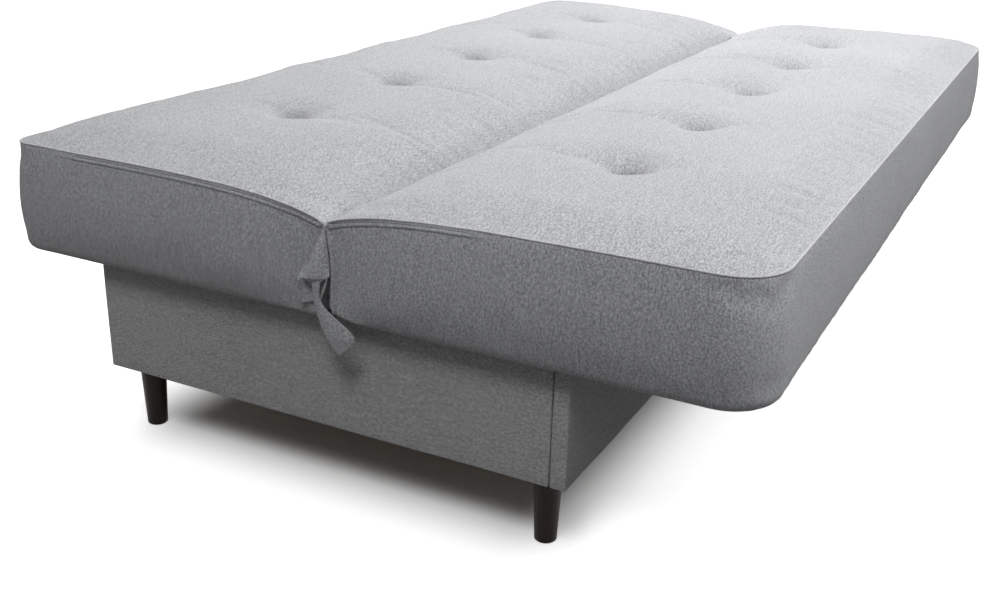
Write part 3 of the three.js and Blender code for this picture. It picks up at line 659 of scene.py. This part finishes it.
def tuft_depths(half, x, d):
    """How far the cover is drawn down at each place by the sewn tufts and the wrinkles that leave them."""
    size = sizes()
    depth = np.zeros(len(x))
    for tuft in half.tufts:
        dx, dd = x - tuft, d - half.depth / 2
        away = np.sqrt(dx**2 + (dd * 1.1) ** 2 + 0.003**2)
        depth += half.tuft_depth * (DIMPLE_SHARE * np.exp(-away / size.tuft_reach)
                                    + PINCH_SHARE * np.exp(-away / size.tuft_pinch))
        for angle in [0, math.pi] + list(half.chance.uniform(0, 2 * math.pi, 3)):
            angle += half.chance.normal(0, 0.15)
            along = dx * math.cos(angle) + dd * math.sin(angle)
            aside = -dx * math.sin(angle) + dd * math.cos(angle)
            reach = half.chance.uniform(0.04, 0.07)
            past = np.clip(along, 0, None)
            valley = hill(aside, 0, 0.014 + 0.25 * past) * np.exp(-past / reach)
            depth += WRINKLE_SHARE * half.tuft_depth * valley * smooth_step(along, 0, 0.012)
    row = ROW_SHARE * half.tuft_depth * hill(d, half.depth / 2, 0.045)
    return depth + row * smooth_step(half.half_bed - np.abs(x), 0.05, 0.25)


def painted_shade_share(half, x, d):
    """How much shade is painted on the cover at each place: in its tufts, and on the back half beside the crease.
    """
    found = np.zeros(len(x))
    for tuft in half.tufts:
        found += hill(x, tuft, 0.03) * hill(d, half.depth / 2, 0.026)
    if half.away > 0:
        found += 0.4 * hill(d, 0, 0.032) * smooth_step(half.half_bed - np.abs(x), 0.02, 0.14)
    return np.clip(found, 0, 1)


def sculpt_cover(half, mesh):
    """The shapes that are finer than the simulated cells, and the shade painted on the cover."""
    size = sizes()
    found, facing = places(mesh), normals(mesh)
    x = found[:, 0]
    d = (found[:, 1] - HINGE.y) * half.away
    upward = smooth_step(facing[:, 2], *FACING_UP)
    found[:, 2] -= upward * tuft_depths(half, x, d)
    if half.away > 0:
        slope = size.crease_slope * hill(d, 0, size.crease_slope_reach)
        found[:, 2] -= upward * slope * smooth_step(half.half_bed - np.abs(x), 0.1, 0.2)
    waves = unevenness(found, (6, half.away, 0.0016), (19, 3 + half.away, 0.0006))
    knuckles = 0.004 * hill(np.abs(x), 0.904, 0.022) * hill(d, 0, 0.03)
    found[:, 2] += upward * (waves * smooth_step(half.depth - d, 0, 0.05) + knuckles)

    low = PAD_BOTTOM
    under_hinge = 1 - smooth_step(found[:, 2], HINGE.z - 0.03, HINGE.z + 0.008)
    tall = smooth_step(found[:, 2], low, low + 0.05) * under_hinge
    depth, place, reach = END_HOLLOW[half.name]
    drawn = -0.006 * np.exp(-d / 0.03) * smooth_step(found[:, 2], low, low + 0.03)
    drawn -= tall * depth * hill(d, place, reach)
    side_waves = unevenness(found, (9, 5 + half.away, 0.0016))
    endward = smooth_step(np.abs(facing[:, 0]), *FACING_OUT) * np.sign(x)
    found[:, 0] += endward * (drawn + side_waves * smooth_step(found[:, 2], low, low + 0.04))
    found[:, 1] += half.away * smooth_step(facing[:, 1] * half.away, *FACING_OUT) * side_waves
    move_to(mesh, found)

    # The painted shade of the tufts and the crease, which the cloth's colour darkens by.
    layer = mesh.attributes.new(PAINTED_SHADE_LAYER, "FLOAT", "POINT")
    layer.data.foreach_set("value", np.where(facing[:, 2] > 0, painted_shade_share(half, x, d), 0).astype(np.float32))


def weave_cover(half, mesh):
    """Weave of the top, the underside and the side band, which runs round the corners."""
    layer = mesh.uv_layers.new(name=WEAVE_MAP)
    found = places(mesh)
    run = half.band_run(found[:, 0], (found[:, 1] - HINGE.y) * half.away)
    for polygon in mesh.polygons:
        flat = abs(polygon.normal.z) > 0.62
        for corner in polygon.loop_indices:
            vertex = mesh.loops[corner].vertex_index
            place = found[vertex]
            layer.data[corner].uv = (place[0], place[1]) if flat else (place[2], run[vertex])


def make_cushion(half, pad):
    """A crowned, tufted cushion with its side band."""
    size = sizes()
    bm = celled_block([round(2 * half.half_bed / size.cell), round(half.depth / size.cell), BLOCK_LAYERS])
    crease = bm.edges.layers.float.new("crease_edge")
    for edge in bm.edges:
        first, second = (vertex.co for vertex in edge.verts)
        outer = min(abs(first.x), abs(second.x)) > BLOCK_EDGE or min(first.y, second.y) > BLOCK_EDGE
        if min(first.z, second.z) > BLOCK_EDGE and outer:
            edge[crease] = 1
    unit = np.array([vertex.co for vertex in bm.verts])
    if half.away < 0:
        bmesh.ops.reverse_faces(bm, faces=bm.faces)
    cushion = finished(f"{half.name}_cushion", bm, "mattress cloth")
    crown = size.crown * UNFILLED_CROWN
    move_to(cushion.data, half.placed(*half.shaped(unit, crown)))
    inflate(cushion, pinned_weights(half, unit), np.where(unit[:, 2] > BLOCK_EDGE, TOP_CAP, SIDE_CAP))
    rounding = cushion.modifiers.new("Rounding", "SUBSURF")
    rounding.levels = rounding.render_levels = 1
    settle(cushion)
    sculpt_cover(half, cushion.data)
    weave_cover(half, cushion.data)
    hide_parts(pad)
    return cushion


def halves():
    size = sizes()
    return (
        Half("seat", size.seat_depth, size.seat_corner_radius, size.seat_tuft_depth, SEAT_FOOT, -1),
        Half("back", size.back_depth, size.back_corner_radius, size.back_tuft_depth, BACK_FOOT, 1),
    )


def bends_at_crease(piece):
    """Bakes the piece's placement into its mesh."""
    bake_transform(piece)


class SOFABED_OT_cushions(bpy.types.Operator):
    """Makes the padded seat and back halves of the mattress"""

    bl_idname = "sofa_bed.cushions"
    bl_label = "Cushions"

    def execute(self, context):
        for half in halves():
            bends_at_crease(make_cushion(half, f"{half.name}_pad"))
        return {"FINISHED"}


# Top seams

SEAM_BAND_END = {"seat": 0.3, "back": 0.52}  # how far from the crease the turned-in edge shows
BEAD_SIDES = 8
EDGE_DROP = 0.0034  # how far below the seam the folded edge ends and the first stitches run


def seam_path(half):
    """Places of the top seam from the crease at one end round to the other, and the way out at each."""
    radius = half.corner_radius
    straight = half.half_bed - radius
    step = sizes().cell / 2
    # Each row holds a place and the way out there, both as X and depth.
    right = [(half.half_bed, d, 1, 0) for d in np.arange(0.004, half.depth - radius, step)]
    for turn in np.linspace(0, math.pi / 2, 15)[1:-1]:
        across, out = math.cos(turn), math.sin(turn)
        right.append((straight + radius * across, half.depth - radius + radius * out, across, out))
    side = [(x, half.depth, 0, 1) for x in np.arange(-straight, straight + 1e-6, step)]
    x, d, across, out = np.concatenate([np.array(right) * (-1, 1, -1, 1), side, right[::-1]]).T
    return half.placed(x, d, half.top(x, d, 0)), np.column_stack([across, out * half.away])


def seam_edge(path, ways, cover):
    """The folded edge of the top panel, as a bead along the seam."""
    radius = sizes().seam_bead
    bm = bmesh.new()
    rings = []
    for place, way in zip(path, ways):
        out = Vector((way[0], way[1], 0))
        nearest = cover.find_nearest(Vector(place))[0]
        centre = nearest + Vector((0, 0, radius * 0.4)) - out * radius * 0.25
        ring = []
        for side in range(BEAD_SIDES):
            turn = 2 * math.pi * side / BEAD_SIDES
            ring.append(bm.verts.new(
                centre + out * math.cos(turn) * radius + Vector((0, 0, math.sin(turn) * radius))))
        rings.append(ring)
    strip(bm, rings, True)
    for ring in (rings[0], rings[-1]):
        bm.faces.new(ring)
    bmesh.ops.recalc_face_normals(bm, faces=bm.faces)
    return bm


def seam_allowance(half, path, ways, deep, cover):
    """The turned-in edge below the seam, at both ends of a half."""
    width = sizes().seam_band
    # How far each of its lines lies below the seam and stands off the cover
    lines = ((0.0, 0.0002), (0.0012, -0.0004), (0.0022, -0.0002), (EDGE_DROP, 0.0011),
             (width * 0.6, 0.0014), (width - 0.001, 0.0012), (width, -0.0004))
    bm = bmesh.new()
    ends = {-1: [], 1: []}
    for place, way, d in zip(path, ways, deep):
        if abs(way[0]) < 0.999 or d > SEAM_BAND_END[half.name]:
            continue
        out = Vector((way[0], way[1], 0))
        shown = float(smooth_step(SEAM_BAND_END[half.name] - d, 0, 0.1))
        row = []
        for drop, lift in lines:
            below = cover.find_nearest(Vector(place) + out * 0.002 - Vector((0, 0, drop + 0.0015)))
            row.append(bm.verts.new(below[0] + out * (lift * shown - 0.0006 * (1 - shown))))
        ends[round(way[0])].append(row)
    for rows in ends.values():
        strip(bm, rows, False)
    bmesh.ops.recalc_face_normals(bm, faces=bm.faces)
    return bm


def seam_stitches(half, path, ways, deep, cover):
    """Two rows of dark stitches below the seam: one close-set along the folded edge, which is real stitching and
    also painted shade under that edge, and one along the turned-in edge's end.
    """
    size = sizes()
    bm = bmesh.new()
    lengths = np.concatenate([[0], np.cumsum(np.linalg.norm(np.diff(path, axis=0), axis=1))])
    # The first row's stitches almost touch, so they read as a dark line: real stitches, and painted shade under
    # the folded edge.
    for drop, gap, thick in ((EDGE_DROP, 1.08, 0.0005), (size.seam_band + 0.0015, 1.5, 0.0004)):
        spacing = size.stitch_length * gap
        for run in np.arange(spacing, lengths[-1] - spacing, spacing):
            if np.interp(run, lengths, deep) > SEAM_BAND_END[half.name] - 0.07:
                continue
            ends = []
            for shift in (-0.5, 0.5):
                where = run + shift * size.stitch_length
                place = Vector([np.interp(where, lengths, path[:, axis]) for axis in range(3)])
                out = Vector([np.interp(where, lengths, ways[:, axis]) for axis in range(2)] + [0])
                out.normalize()
                near = cover.find_nearest(place + out * 0.002 - Vector((0, 0, drop)))
                ends.append(near[0] + out * 0.0002)
            run_of_stitch = ends[1] - ends[0]
            turn = run_of_stitch.normalized().to_track_quat("X", "Z").to_matrix().to_4x4()
            scale = (run_of_stitch.length / 2, thick, thick, 1)
            shape = Matrix.Translation((ends[0] + ends[1]) / 2) @ turn @ Matrix.Diagonal(scale)
            bmesh.ops.create_icosphere(bm, subdivisions=1, radius=1, matrix=shape)
    return bm


def make_seam(half, cushion):
    """The top panel's folded edge, the turned-in edge below it and its two rows of stitches."""
    path, ways = seam_path(half)
    deep = (path[:, 1] - HINGE.y) * half.away
    cover = BVHTree.FromObject(cushion, bpy.context.evaluated_depsgraph_get())
    # The folded edge wears the paler seam cloth, which is a painted highlight.
    edge, allowance, stitches = (
        finished(f"{half.name}_seam_{part}", bm, finish)
        for part, bm, finish in (
            ("edge", seam_edge(path, ways, cover), "seam cloth"),
            ("allowance", seam_allowance(half, path, ways, deep, cover), "mattress cloth"),
            ("stitches", seam_stitches(half, path, ways, deep, cover), "seam thread")))
    weave_flat(edge.data)
    weave_flat(allowance.data)
    return edge, allowance, stitches


class SOFABED_OT_seams(bpy.types.Operator):
    """Sews the top panel of each half to its side band"""

    bl_idname = "sofa_bed.seams"
    bl_label = "Top seams"

    def execute(self, context):
        for half in halves():
            cushion = bpy.data.objects.get(f"{half.name}_cushion")
            if cushion is None:
                raise RuntimeError("the seams are sewn on the cushions, so the cushions come first")
            for piece in make_seam(half, cushion):
                bends_at_crease(piece)
        return {"FINISHED"}


# Storage box

BOARD_CELL = 0.02  # the boards are cut into such cells, except across their thickness
THICKEST_BOARD = 0.05


def cover_board(node_name):
    """A cloth-covered board with soft edges, in the place of its rigid one."""
    size = sizes()
    low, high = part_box(node_name)
    if node_name.endswith("_end_panel"):
        low.y += size.board_gap
    extent = high - low
    bm = bmesh.new()
    bmesh.ops.create_cube(bm, size=1)
    bmesh.ops.scale(bm, vec=extent, verts=bm.verts)
    bmesh.ops.translate(bm, vec=(low + high) / 2, verts=bm.verts)
    bmesh.ops.bevel(bm, geom=list(bm.edges), offset=size.board_radius, offset_type="OFFSET", segments=3,
                    profile=0.5, affect="EDGES", material=-1)
    for axis in range(3):
        if extent[axis] > THICKEST_BOARD:
            cut_along(bm, axis, round(extent[axis] / BOARD_CELL))
    board = finished(f"{node_name}_covered", bm, "box cloth")
    found, facing = places(board.data), normals(board.data)
    waves = unevenness(found, (7, 11, 0.0007), (23, 12, 0.0003))
    inner = np.minimum((found - np.array(low)).min(1), (np.array(high) - found).min(1))
    found += facing * (waves * smooth_step(inner, -1, 0.0))[:, None]
    move_to(board.data, found)
    weave_flat(board.data)
    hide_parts(node_name)
    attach(board, "box")


class SOFABED_OT_box(bpy.types.Operator):
    """Covers the boards of the storage box with cloth"""

    bl_idname = "sofa_bed.box"
    bl_label = "Storage box"

    def execute(self, context):
        for name in ("front_board", "rear_board", "left_end_panel", "right_end_panel"):
            cover_board(name)
        return {"FINISHED"}


# Legs

LEG_TAPER = 0.775  # the foot's radius as a share of the top's
STUD_RADIUS = 0.004
LEG_EASE = 0.002  # how far its sharp edges are broken


def turn_leg(node_name):
    """A tapered round leg with the stud that screws into its corner block."""
    low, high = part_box(node_name)
    middle = (low + high) / 2
    top_radius = (high.x - low.x) / 2 + 0.001
    foot_radius = top_radius * LEG_TAPER
    shoulder = BOX_BOTTOM - 0.0003
    profile = [
        (0, 0), (foot_radius - LEG_EASE, 0), (foot_radius, LEG_EASE),
        (foot_radius + (top_radius - foot_radius) * 0.5, BOX_BOTTOM * 0.5),
        (top_radius, BOX_BOTTOM - LEG_EASE), (top_radius - LEG_EASE, shoulder),
        (STUD_RADIUS, shoulder), (STUD_RADIUS, high.z - LEG_EASE), (0, high.z),
    ]
    bm = bmesh.new()
    line = [bm.verts.new((middle.x + radius, middle.y, height)) for radius, height in profile]
    edges = [bm.edges.new(pair) for pair in zip(line, line[1:])]
    bmesh.ops.spin(bm, geom=line + edges, cent=(middle.x, middle.y, 0), axis=(0, 0, 1), angle=2 * math.pi,
                   steps=64, use_merge=True)
    bmesh.ops.remove_doubles(bm, verts=bm.verts, dist=1e-6)
    bmesh.ops.recalc_face_normals(bm, faces=bm.faces)
    leg = finished(f"{node_name}_turned", bm, "dark beech")
    leg.data.set_sharp_from_angle(angle=math.radians(40))
    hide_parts(node_name)
    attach(leg, "box")


class SOFABED_OT_legs(bpy.types.Operator):
    """Turns the four tapered legs"""

    bl_idname = "sofa_bed.legs"
    bl_label = "Legs"

    def execute(self, context):
        for side in ENDS:
            for row in ("front", "rear"):
                turn_leg(f"{side}_{row}_leg")
        return {"FINISHED"}


# Underside linings

LINING_TURN_IN = 0.012
LINING_DROP = 0.0012


def lining_sheet(body):
    """The thin cloth that closes a half's underside, sagging a little between its staples."""
    node_name = f"{body}_lining"
    low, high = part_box(node_name)
    width, depth = high.x - low.x + 2 * LINING_TURN_IN, high.y - low.y + 2 * LINING_TURN_IN
    middle = ((low.x + high.x) / 2, (low.y + high.y) / 2, low.z - LINING_DROP)
    bm = bmesh.new()
    bmesh.ops.create_grid(bm, x_segments=96, y_segments=28, size=0.5)
    bmesh.ops.scale(bm, vec=(width, depth, 1), verts=bm.verts)
    bmesh.ops.translate(bm, vec=middle, verts=bm.verts)
    bmesh.ops.reverse_faces(bm, faces=bm.faces)
    sheet = finished(f"{node_name}_cloth", bm, "lining cloth")
    found = places(sheet.data)
    flat = found[:, :2]
    inset = np.minimum(flat - flat.min(0), flat.max(0) - flat).min(1)
    found[:, 2] += unevenness(found, (14, 21, 0.0006)) * smooth_step(inset, 0, 0.05)
    move_to(sheet.data, found)
    weave_flat(sheet.data)
    wall = sheet.modifiers.new("Cloth thickness", "SOLIDIFY")
    wall.thickness = 0.0005
    wall.offset = 0
    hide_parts(node_name)
    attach(sheet, body)


class SOFABED_OT_linings(bpy.types.Operator):
    """Staples the lining cloth under each half"""

    bl_idname = "sofa_bed.linings"
    bl_label = "Linings"

    def execute(self, context):
        for body in ("seat", "back"):
            lining_sheet(body)
        return {"FINISHED"}


# Side gussets

# Rows of the flap from its apex to the tongue's end, in millimetres and degrees. Each row holds its
# middle's Y and height, its half width, its turn, how far its edges stand off the mattress and how far
# its middle arches out.
FLAP_ROWS = (
    (17.9, 434.6, 1.2, 10, -1.0, 1.0),
    (19.5, 424.0, 4.6, 1, 0.0, 4.5),
    (21.7, 409.8, 9.6, 6, 1.0, 9.5),
    (23.7, 395.5, 13.9, 8, 2.0, 13.0),
    (25.4, 381.9, 17.8, 11, 3.5, 15.0),
    (27.6, 369.5, 22.1, 11, 6.0, 14.0),
    (28.4, 363.6, 23.9, 10, 9.0, 11.0),
    (26.4, 360.9, 17.1, 10, 12.0, 5.5),
    (24.2, 357.4, 8.1, 11, 14.0, 2.6),
    (23.6, 349.7, 6.1, 11, 14.5, 2.0),
    (24.3, 339.2, 5.7, 14, 13.5, 2.0),
    (23.6, 329.7, 6.4, 25, 12.0, 2.0),
    (20.0, 318.7, 8.3, 31, 11.0, 2.0),
    (14.0, 308.5, 11.9, 39, 11.0, 2.0),
    (5.1, 297.7, 16.1, 40, 11.5, 2.0),
    (-6.6, 286.9, 19.9, 40, 11.5, 2.4),
    (-16.2, 275.5, 21.8, 43, 10.5, 2.2),
    (-20.6, 269.6, 20.6, 48, 9.5, 1.8),
    (-23.0, 266.6, 17.0, 48, 9.0, 1.4),
)
# Rows of the pocket behind the flap, down to its hem, in the same order
POCKET_ROWS = (
    (31.0, 381.7, 19.4, 9, 3.0, 0.5),
    (31.2, 369.4, 22.9, 9, 9.0, -5.0),
    (29.2, 362.4, 24.4, 9, 16.0, -14.0),
    (30.5, 353.5, 24.7, 10, 17.0, -15.0),
    (33.5, 342.6, 22.4, 10, 15.5, -13.5),
    (35.5, 332.4, 19.0, 12, 13.0, -10.0),
    (36.4, 323.5, 15.1, 12, 10.0, -6.0),
)
# Rows of the soft fold that stands beside the flap, on the seat's side
FOLD_ROWS = (
    (14.8, 432.0, 1.8, 10, -4.0, 2.0),
    (9.7, 417.5, 4.8, 10, -6.0, 7.5),
    (6.8, 396.6, 5.9, 11, -7.0, 10.0),
    (5.6, 372.3, 6.1, 11, -7.0, 10.5),
    (6.2, 345.7, 7.0, 11, -7.0, 10.5),
    (6.4, 323.7, 7.6, 14, -7.0, 10.0),
    (5.1, 308.7, 7.4, 26, -7.0, 8.0),
)
# Rows of the cloth that closes the gap between the halves behind them all
BACKING_ROWS = (
    (20.0, 436.0, 3.0, 0, -5.0, 0.5),
    (20.0, 420.0, 12.0, 0, -4.0, 0.5),
    (20.0, 385.0, 16.0, 0, -4.0, 0.5),
    (20.0, 355.0, 17.0, 0, -6.0, 0.5),
    (20.0, 336.0, 17.0, 0, -11.0, 0.5),
)
# Each sheet's name, rows, cells across, roundness, thickness, flat size and hold
GUSSET_SHEETS = (
    ("flap", FLAP_ROWS, 18, 2.2, 0.0016, (0.05, 0.22), "gathered"),
    ("pocket", POCKET_ROWS, 16, 3.0, 0.0014, (0.06, 0.062), "folded"),
    ("fold", FOLD_ROWS, 10, 2.0, 0.0012, (0.017, 0.13), "folded"),
    ("backing", BACKING_ROWS, 8, 2.0, 0.001, (0.034, 0.1), "stretched"),
)
CELLS_BETWEEN_ROWS = 5
GUSSET_WAVES = 70  # per metre
GUSSET_WAVE_HEIGHT = 0.0012
GUSSET_STAND_OFF = 0.0005


def woven_rows(rows, across, roundness):
    """A sheet through rows of a gusset, as a bmesh whose X points out of the mattress's end."""
    table = np.array(rows, float)
    table[:, 3] = np.radians(table[:, 3])
    table[:, (0, 1, 2, 4, 5)] /= 1000
    tangents = np.gradient(table, axis=0)
    last = len(table) - 1
    bm = bmesh.new()
    grid = []
    for spot in np.linspace(0, last, last * CELLS_BETWEEN_ROWS + 1):
        before = min(int(spot), last - 1)
        t = spot - before
        y, z, half_width, turn, lift, arch = (
            (2 * t**3 - 3 * t**2 + 1) * table[before] + (t**3 - 2 * t**2 + t) * tangents[before]
            + (-2 * t**3 + 3 * t**2) * table[before + 1] + (t**3 - t**2) * tangents[before + 1])
        line = []
        for share in np.linspace(-1, 1, across + 1):
            side = share * half_width
            out = lift + arch * (1 - abs(share) ** roundness)
            line.append(bm.verts.new((out, y - side * math.cos(turn), z + side * math.sin(turn))))
        grid.append(line)
    strip(bm, grid, False)
    for vertex in bm.verts:
        vertex.co.x += noise.noise(vertex.co * GUSSET_WAVES) * GUSSET_WAVE_HEIGHT
    return bm


def gusset_piece(name, bm, end, thickness):
    """Stands a gusset's sheet on the mattress's end, and gives its area as a cloth without thickness."""
    face = end * (sizes().seam_length / 2 + GUSSET_STAND_OFF)
    for vertex in bm.verts:
        vertex.co.x = face + end * vertex.co.x
    bmesh.ops.recalc_face_normals(bm, faces=bm.faces)
    if sum(polygon.normal.x * polygon.calc_area() for polygon in bm.faces) * end < 0:
        bmesh.ops.reverse_faces(bm, faces=bm.faces)
    piece = finished(name, bm, "mattress cloth")
    weave_flat(piece.data)
    wall = piece.modifiers.new("Cloth thickness", "SOLIDIFY")
    wall.thickness = thickness
    wall.offset = -1
    soft = piece.modifiers.new("Soft folds", "SUBSURF")
    soft.levels = soft.render_levels = 1
    return piece, sum(polygon.area for polygon in piece.data.polygons)


class SOFABED_OT_gussets(bpy.types.Operator):
    """Gathers the side gusset at each end of the crease"""

    bl_idname = "sofa_bed.gussets"
    bl_label = "Side gussets"

    def execute(self, context):
        for side, end in ENDS.items():
            node_name = f"{side}_side_gusset"
            for part, rows, across, roundness, thickness, flat, held in GUSSET_SHEETS:
                bm = woven_rows(rows, across, roundness)
                piece, area = gusset_piece(f"{side}_gusset_{part}", bm, end, thickness)
                area = min(area, flat[0] * flat[1])
                if part == "flap":
                    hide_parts(node_name)
                if part == "backing":
                    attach(piece, "carriage")
                else:
                    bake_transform(piece)
        return {"FINISHED"}


# Finishes of the rigid parts, by their material slot

RIGID_FINISHES = {
    "timber": "pine",
    "plywood": "birch board",
    "leg_wood": "dark beech",
    "zinc_steel": "zinc steel",
    "black_steel": "black steel",
    "nylon": "nylon",
}


class SOFABED_OT_finishes(bpy.types.Operator):
    """Gives the frames, hinges and guides their wood, steel and nylon finishes"""

    bl_idname = "sofa_bed.finishes"
    bl_label = "Rigid finishes"

    def execute(self, context):
        for row in frame["record"]["subparts"]:
            finish = RIGID_FINISHES.get(row["material_slot"])
            if finish is None:
                continue
            low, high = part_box(row["node"])
            if finish == "pine" and high.y - low.y > high.x - low.x:
                finish = "pine across"
            materials = frame["nodes"][row["node"]].data.materials
            materials.clear()
            materials.append(finishes()[finish])
        return {"FINISHED"}


# Stage

# The camera stands where the photograph was taken from.
PICTURE_WIDTH = 1000
CAMERA_PLACE = Vector((-2.2439, -0.8793, 0.943))
CAMERA_YAW = 0.4611
CAMERA_PITCH = -0.3806
CAMERA_ROLL = 0.0307
CAMERA_FOCUS = 1190.25  # in pixels of the picture's width

# Light is painted on the floor as a glow that rises from this far inside the box's footprint to this far outside
# it, and then by a little for each metre further out, so that it covers the bed's shadow round the box.
FLOOR_SHADE_START = 0.115
FLOOR_SHADE_END = 0.055
FLOOR_GLOW_SLOPE = 0.3
WHITE = (1, 1, 1, 1)


class SOFABED_OT_stage(bpy.types.Operator):
    """Sets up the floor, the soft light and the camera"""

    bl_idname = "sofa_bed.stage"
    bl_label = "Stage"

    def execute(self, context):
        scene = context.scene
        scene.view_settings.view_transform = "Standard"
        make_camera(scene)
        make_floor()
        make_light(scene)
        return {"FINISHED"}


def make_camera(scene):
    data = bpy.data.cameras.new("Camera")
    camera = linked("Camera", data)
    forward = Vector((math.cos(CAMERA_YAW) * math.cos(CAMERA_PITCH),
                      math.sin(CAMERA_YAW) * math.cos(CAMERA_PITCH), math.sin(CAMERA_PITCH)))
    level = forward.cross(Vector((0, 0, 1))).normalized()
    upright = level.cross(forward)
    right = level * math.cos(CAMERA_ROLL) + upright * math.sin(CAMERA_ROLL)
    up = upright * math.cos(CAMERA_ROLL) - level * math.sin(CAMERA_ROLL)
    turn = Matrix((right, up, -forward)).transposed()
    camera.matrix_world = Matrix.Translation(CAMERA_PLACE) @ turn.to_4x4()
    data.lens = data.sensor_width * CAMERA_FOCUS / PICTURE_WIDTH
    data.clip_start = 0.05
    scene.camera = camera


def seen_directly(tree):
    """One for what the camera sees, also in a mirror or through glass, and zero for light that bounces."""
    path = node(tree, "LightPath").outputs
    direct = maths(tree, "ADD", path["Is Camera Ray"], path["Is Glossy Ray"])
    return maths(tree, "ADD", direct, path["Is Transmission Ray"], clamp=True)


def painted_floor_glow(tree):
    """Light painted on the floor as a glow round the box's footprint, which covers the shadow that the bed casts
    there and keeps the shadow to what lies under the box.
    """
    apart = node(tree, "SeparateXYZ", {0: node(tree, "TexCoord").outputs["Object"]}).outputs
    low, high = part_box("front_board")[0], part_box("rear_board")[1]
    squares = []
    for axis, middle, reach in ((0, 0, -low.x), (1, (low.y + high.y) / 2, (high.y - low.y) / 2)):
        along = maths(tree, "ABSOLUTE", maths(tree, "SUBTRACT", apart[axis], middle))
        past = maths(tree, "MAXIMUM", maths(tree, "SUBTRACT", along, reach - FLOOR_SHADE_START), 0)
        squares.append(maths(tree, "MULTIPLY", past, past))
    away = maths(tree, "SQRT", maths(tree, "ADD", *squares))
    reach = FLOOR_SHADE_START + FLOOR_SHADE_END
    share = node(tree, "MapRange", {0: away, 1: 0.0, 2: reach, 3: 0.0, 4: colours().floor_painted_light},
                 interpolation_type="SMOOTHSTEP").outputs[0]
    share = maths(tree, "ADD", share, maths(tree, "MULTIPLY", away, FLOOR_GLOW_SLOPE), clamp=True)
    return node(tree, "Emission", {"Color": WHITE, "Strength": share}).outputs[0]


def make_floor():
    """A pale floor with light painted round the box as a glow, which is dark for light that bounces, so that it
    hardly lights the bed from below.
    """
    bm = bmesh.new()
    bmesh.ops.create_grid(bm, x_segments=1, y_segments=1, size=40)
    mesh = bpy.data.meshes.new("floor")
    bm.to_mesh(mesh)
    bm.free()
    made = bpy.data.materials.new("pale floor")
    tree = cleared(made)
    lit = node(tree, "BsdfDiffuse", {"Color": (0.97, 0.97, 0.97, 1)})
    # The camera sees the lit floor with the painted glow added.
    shown = node(tree, "AddShader", {0: lit.outputs[0], 1: painted_floor_glow(tree)})
    bounced = node(tree, "BsdfDiffuse", {"Color": (0.12, 0.12, 0.122, 1)})
    mix = node(tree, "MixShader", {0: seen_directly(tree), 1: bounced.outputs[0], 2: shown.outputs[0]})
    node(tree, "OutputMaterial", {"Surface": mix.outputs[0]})
    mesh.materials.append(made)
    linked("floor", mesh)


def make_lamp(name, place, target, size, power, spread=180):
    """A square soft box at one place that looks at another."""
    data = bpy.data.lights.new(name, "AREA")
    data.shape = "SQUARE"
    data.size = size
    data.energy = power
    data.spread = math.radians(spread)
    lamp = linked(name, data)
    lamp.location = place
    lamp.rotation_mode = "QUATERNION"
    lamp.rotation_quaternion = (Vector(place) - Vector(target)).to_track_quat("Z", "Y")


def make_light(scene):
    look = colours()
    make_lamp("Key light", (2.0, 1.7, 3.6), (0.4, -0.9, 0.4), 1.6, look.key, 80)
    make_lamp("Front light", (0.2, -2.6, 3.2), (0, -0.3, 0.4), 1.8, look.front)
    make_lamp("End light", (-2.9, -0.6, 3.4), (-0.9, 0, 0.4), 1.0, look.near)

    scene.world = bpy.data.worlds.new("Studio")
    tree = cleared(scene.world)
    lit = node(tree, "Background", {"Color": WHITE, "Strength": look.sky})
    shown = node(tree, "Background", {"Color": WHITE, "Strength": 1})
    mix = node(tree, "MixShader", {0: seen_directly(tree), 1: lit.outputs[0], 2: shown.outputs[0]})
    node(tree, "OutputWorld", {"Surface": mix.outputs[0]})


class SOFABED_PT_sidebar(bpy.types.Panel):
    """Lists the sizes, the colours and the steps"""

    bl_label = "Sofa bed"
    bl_idname = "SOFABED_PT_sidebar"
    bl_space_type = "VIEW_3D"
    bl_region_type = "UI"
    bl_category = "Sofa bed"

    def draw(self, context):
        layout = self.layout
        for group in (context.scene.sofa_sizes, context.scene.sofa_colours):
            for name in group.__annotations__:
                layout.prop(group, name)
        for step in STEPS:
            layout.operator(step.bl_idname)


STEPS = (
    SOFABED_OT_stage,
    SOFABED_OT_finishes,
    SOFABED_OT_cushions,
    SOFABED_OT_seams,
    SOFABED_OT_gussets,
    SOFABED_OT_linings,
    SOFABED_OT_box,
    SOFABED_OT_legs,
)
CLASSES = (SofaSizes, SofaColours, *STEPS, SOFABED_PT_sidebar)


def register():
    for each in CLASSES:
        bpy.utils.register_class(each)
    bpy.types.Scene.sofa_sizes = bpy.props.PointerProperty(type=SofaSizes)
    bpy.types.Scene.sofa_colours = bpy.props.PointerProperty(type=SofaColours)


def unregister():
    del bpy.types.Scene.sofa_colours
    del bpy.types.Scene.sofa_sizes
    for each in reversed(CLASSES):
        bpy.utils.unregister_class(each)


def main():
    register()
    for step in STEPS:
        group, name = step.bl_idname.split(".")
        getattr(getattr(bpy.ops, group), name)()


if __name__ == "__main__":
    main()
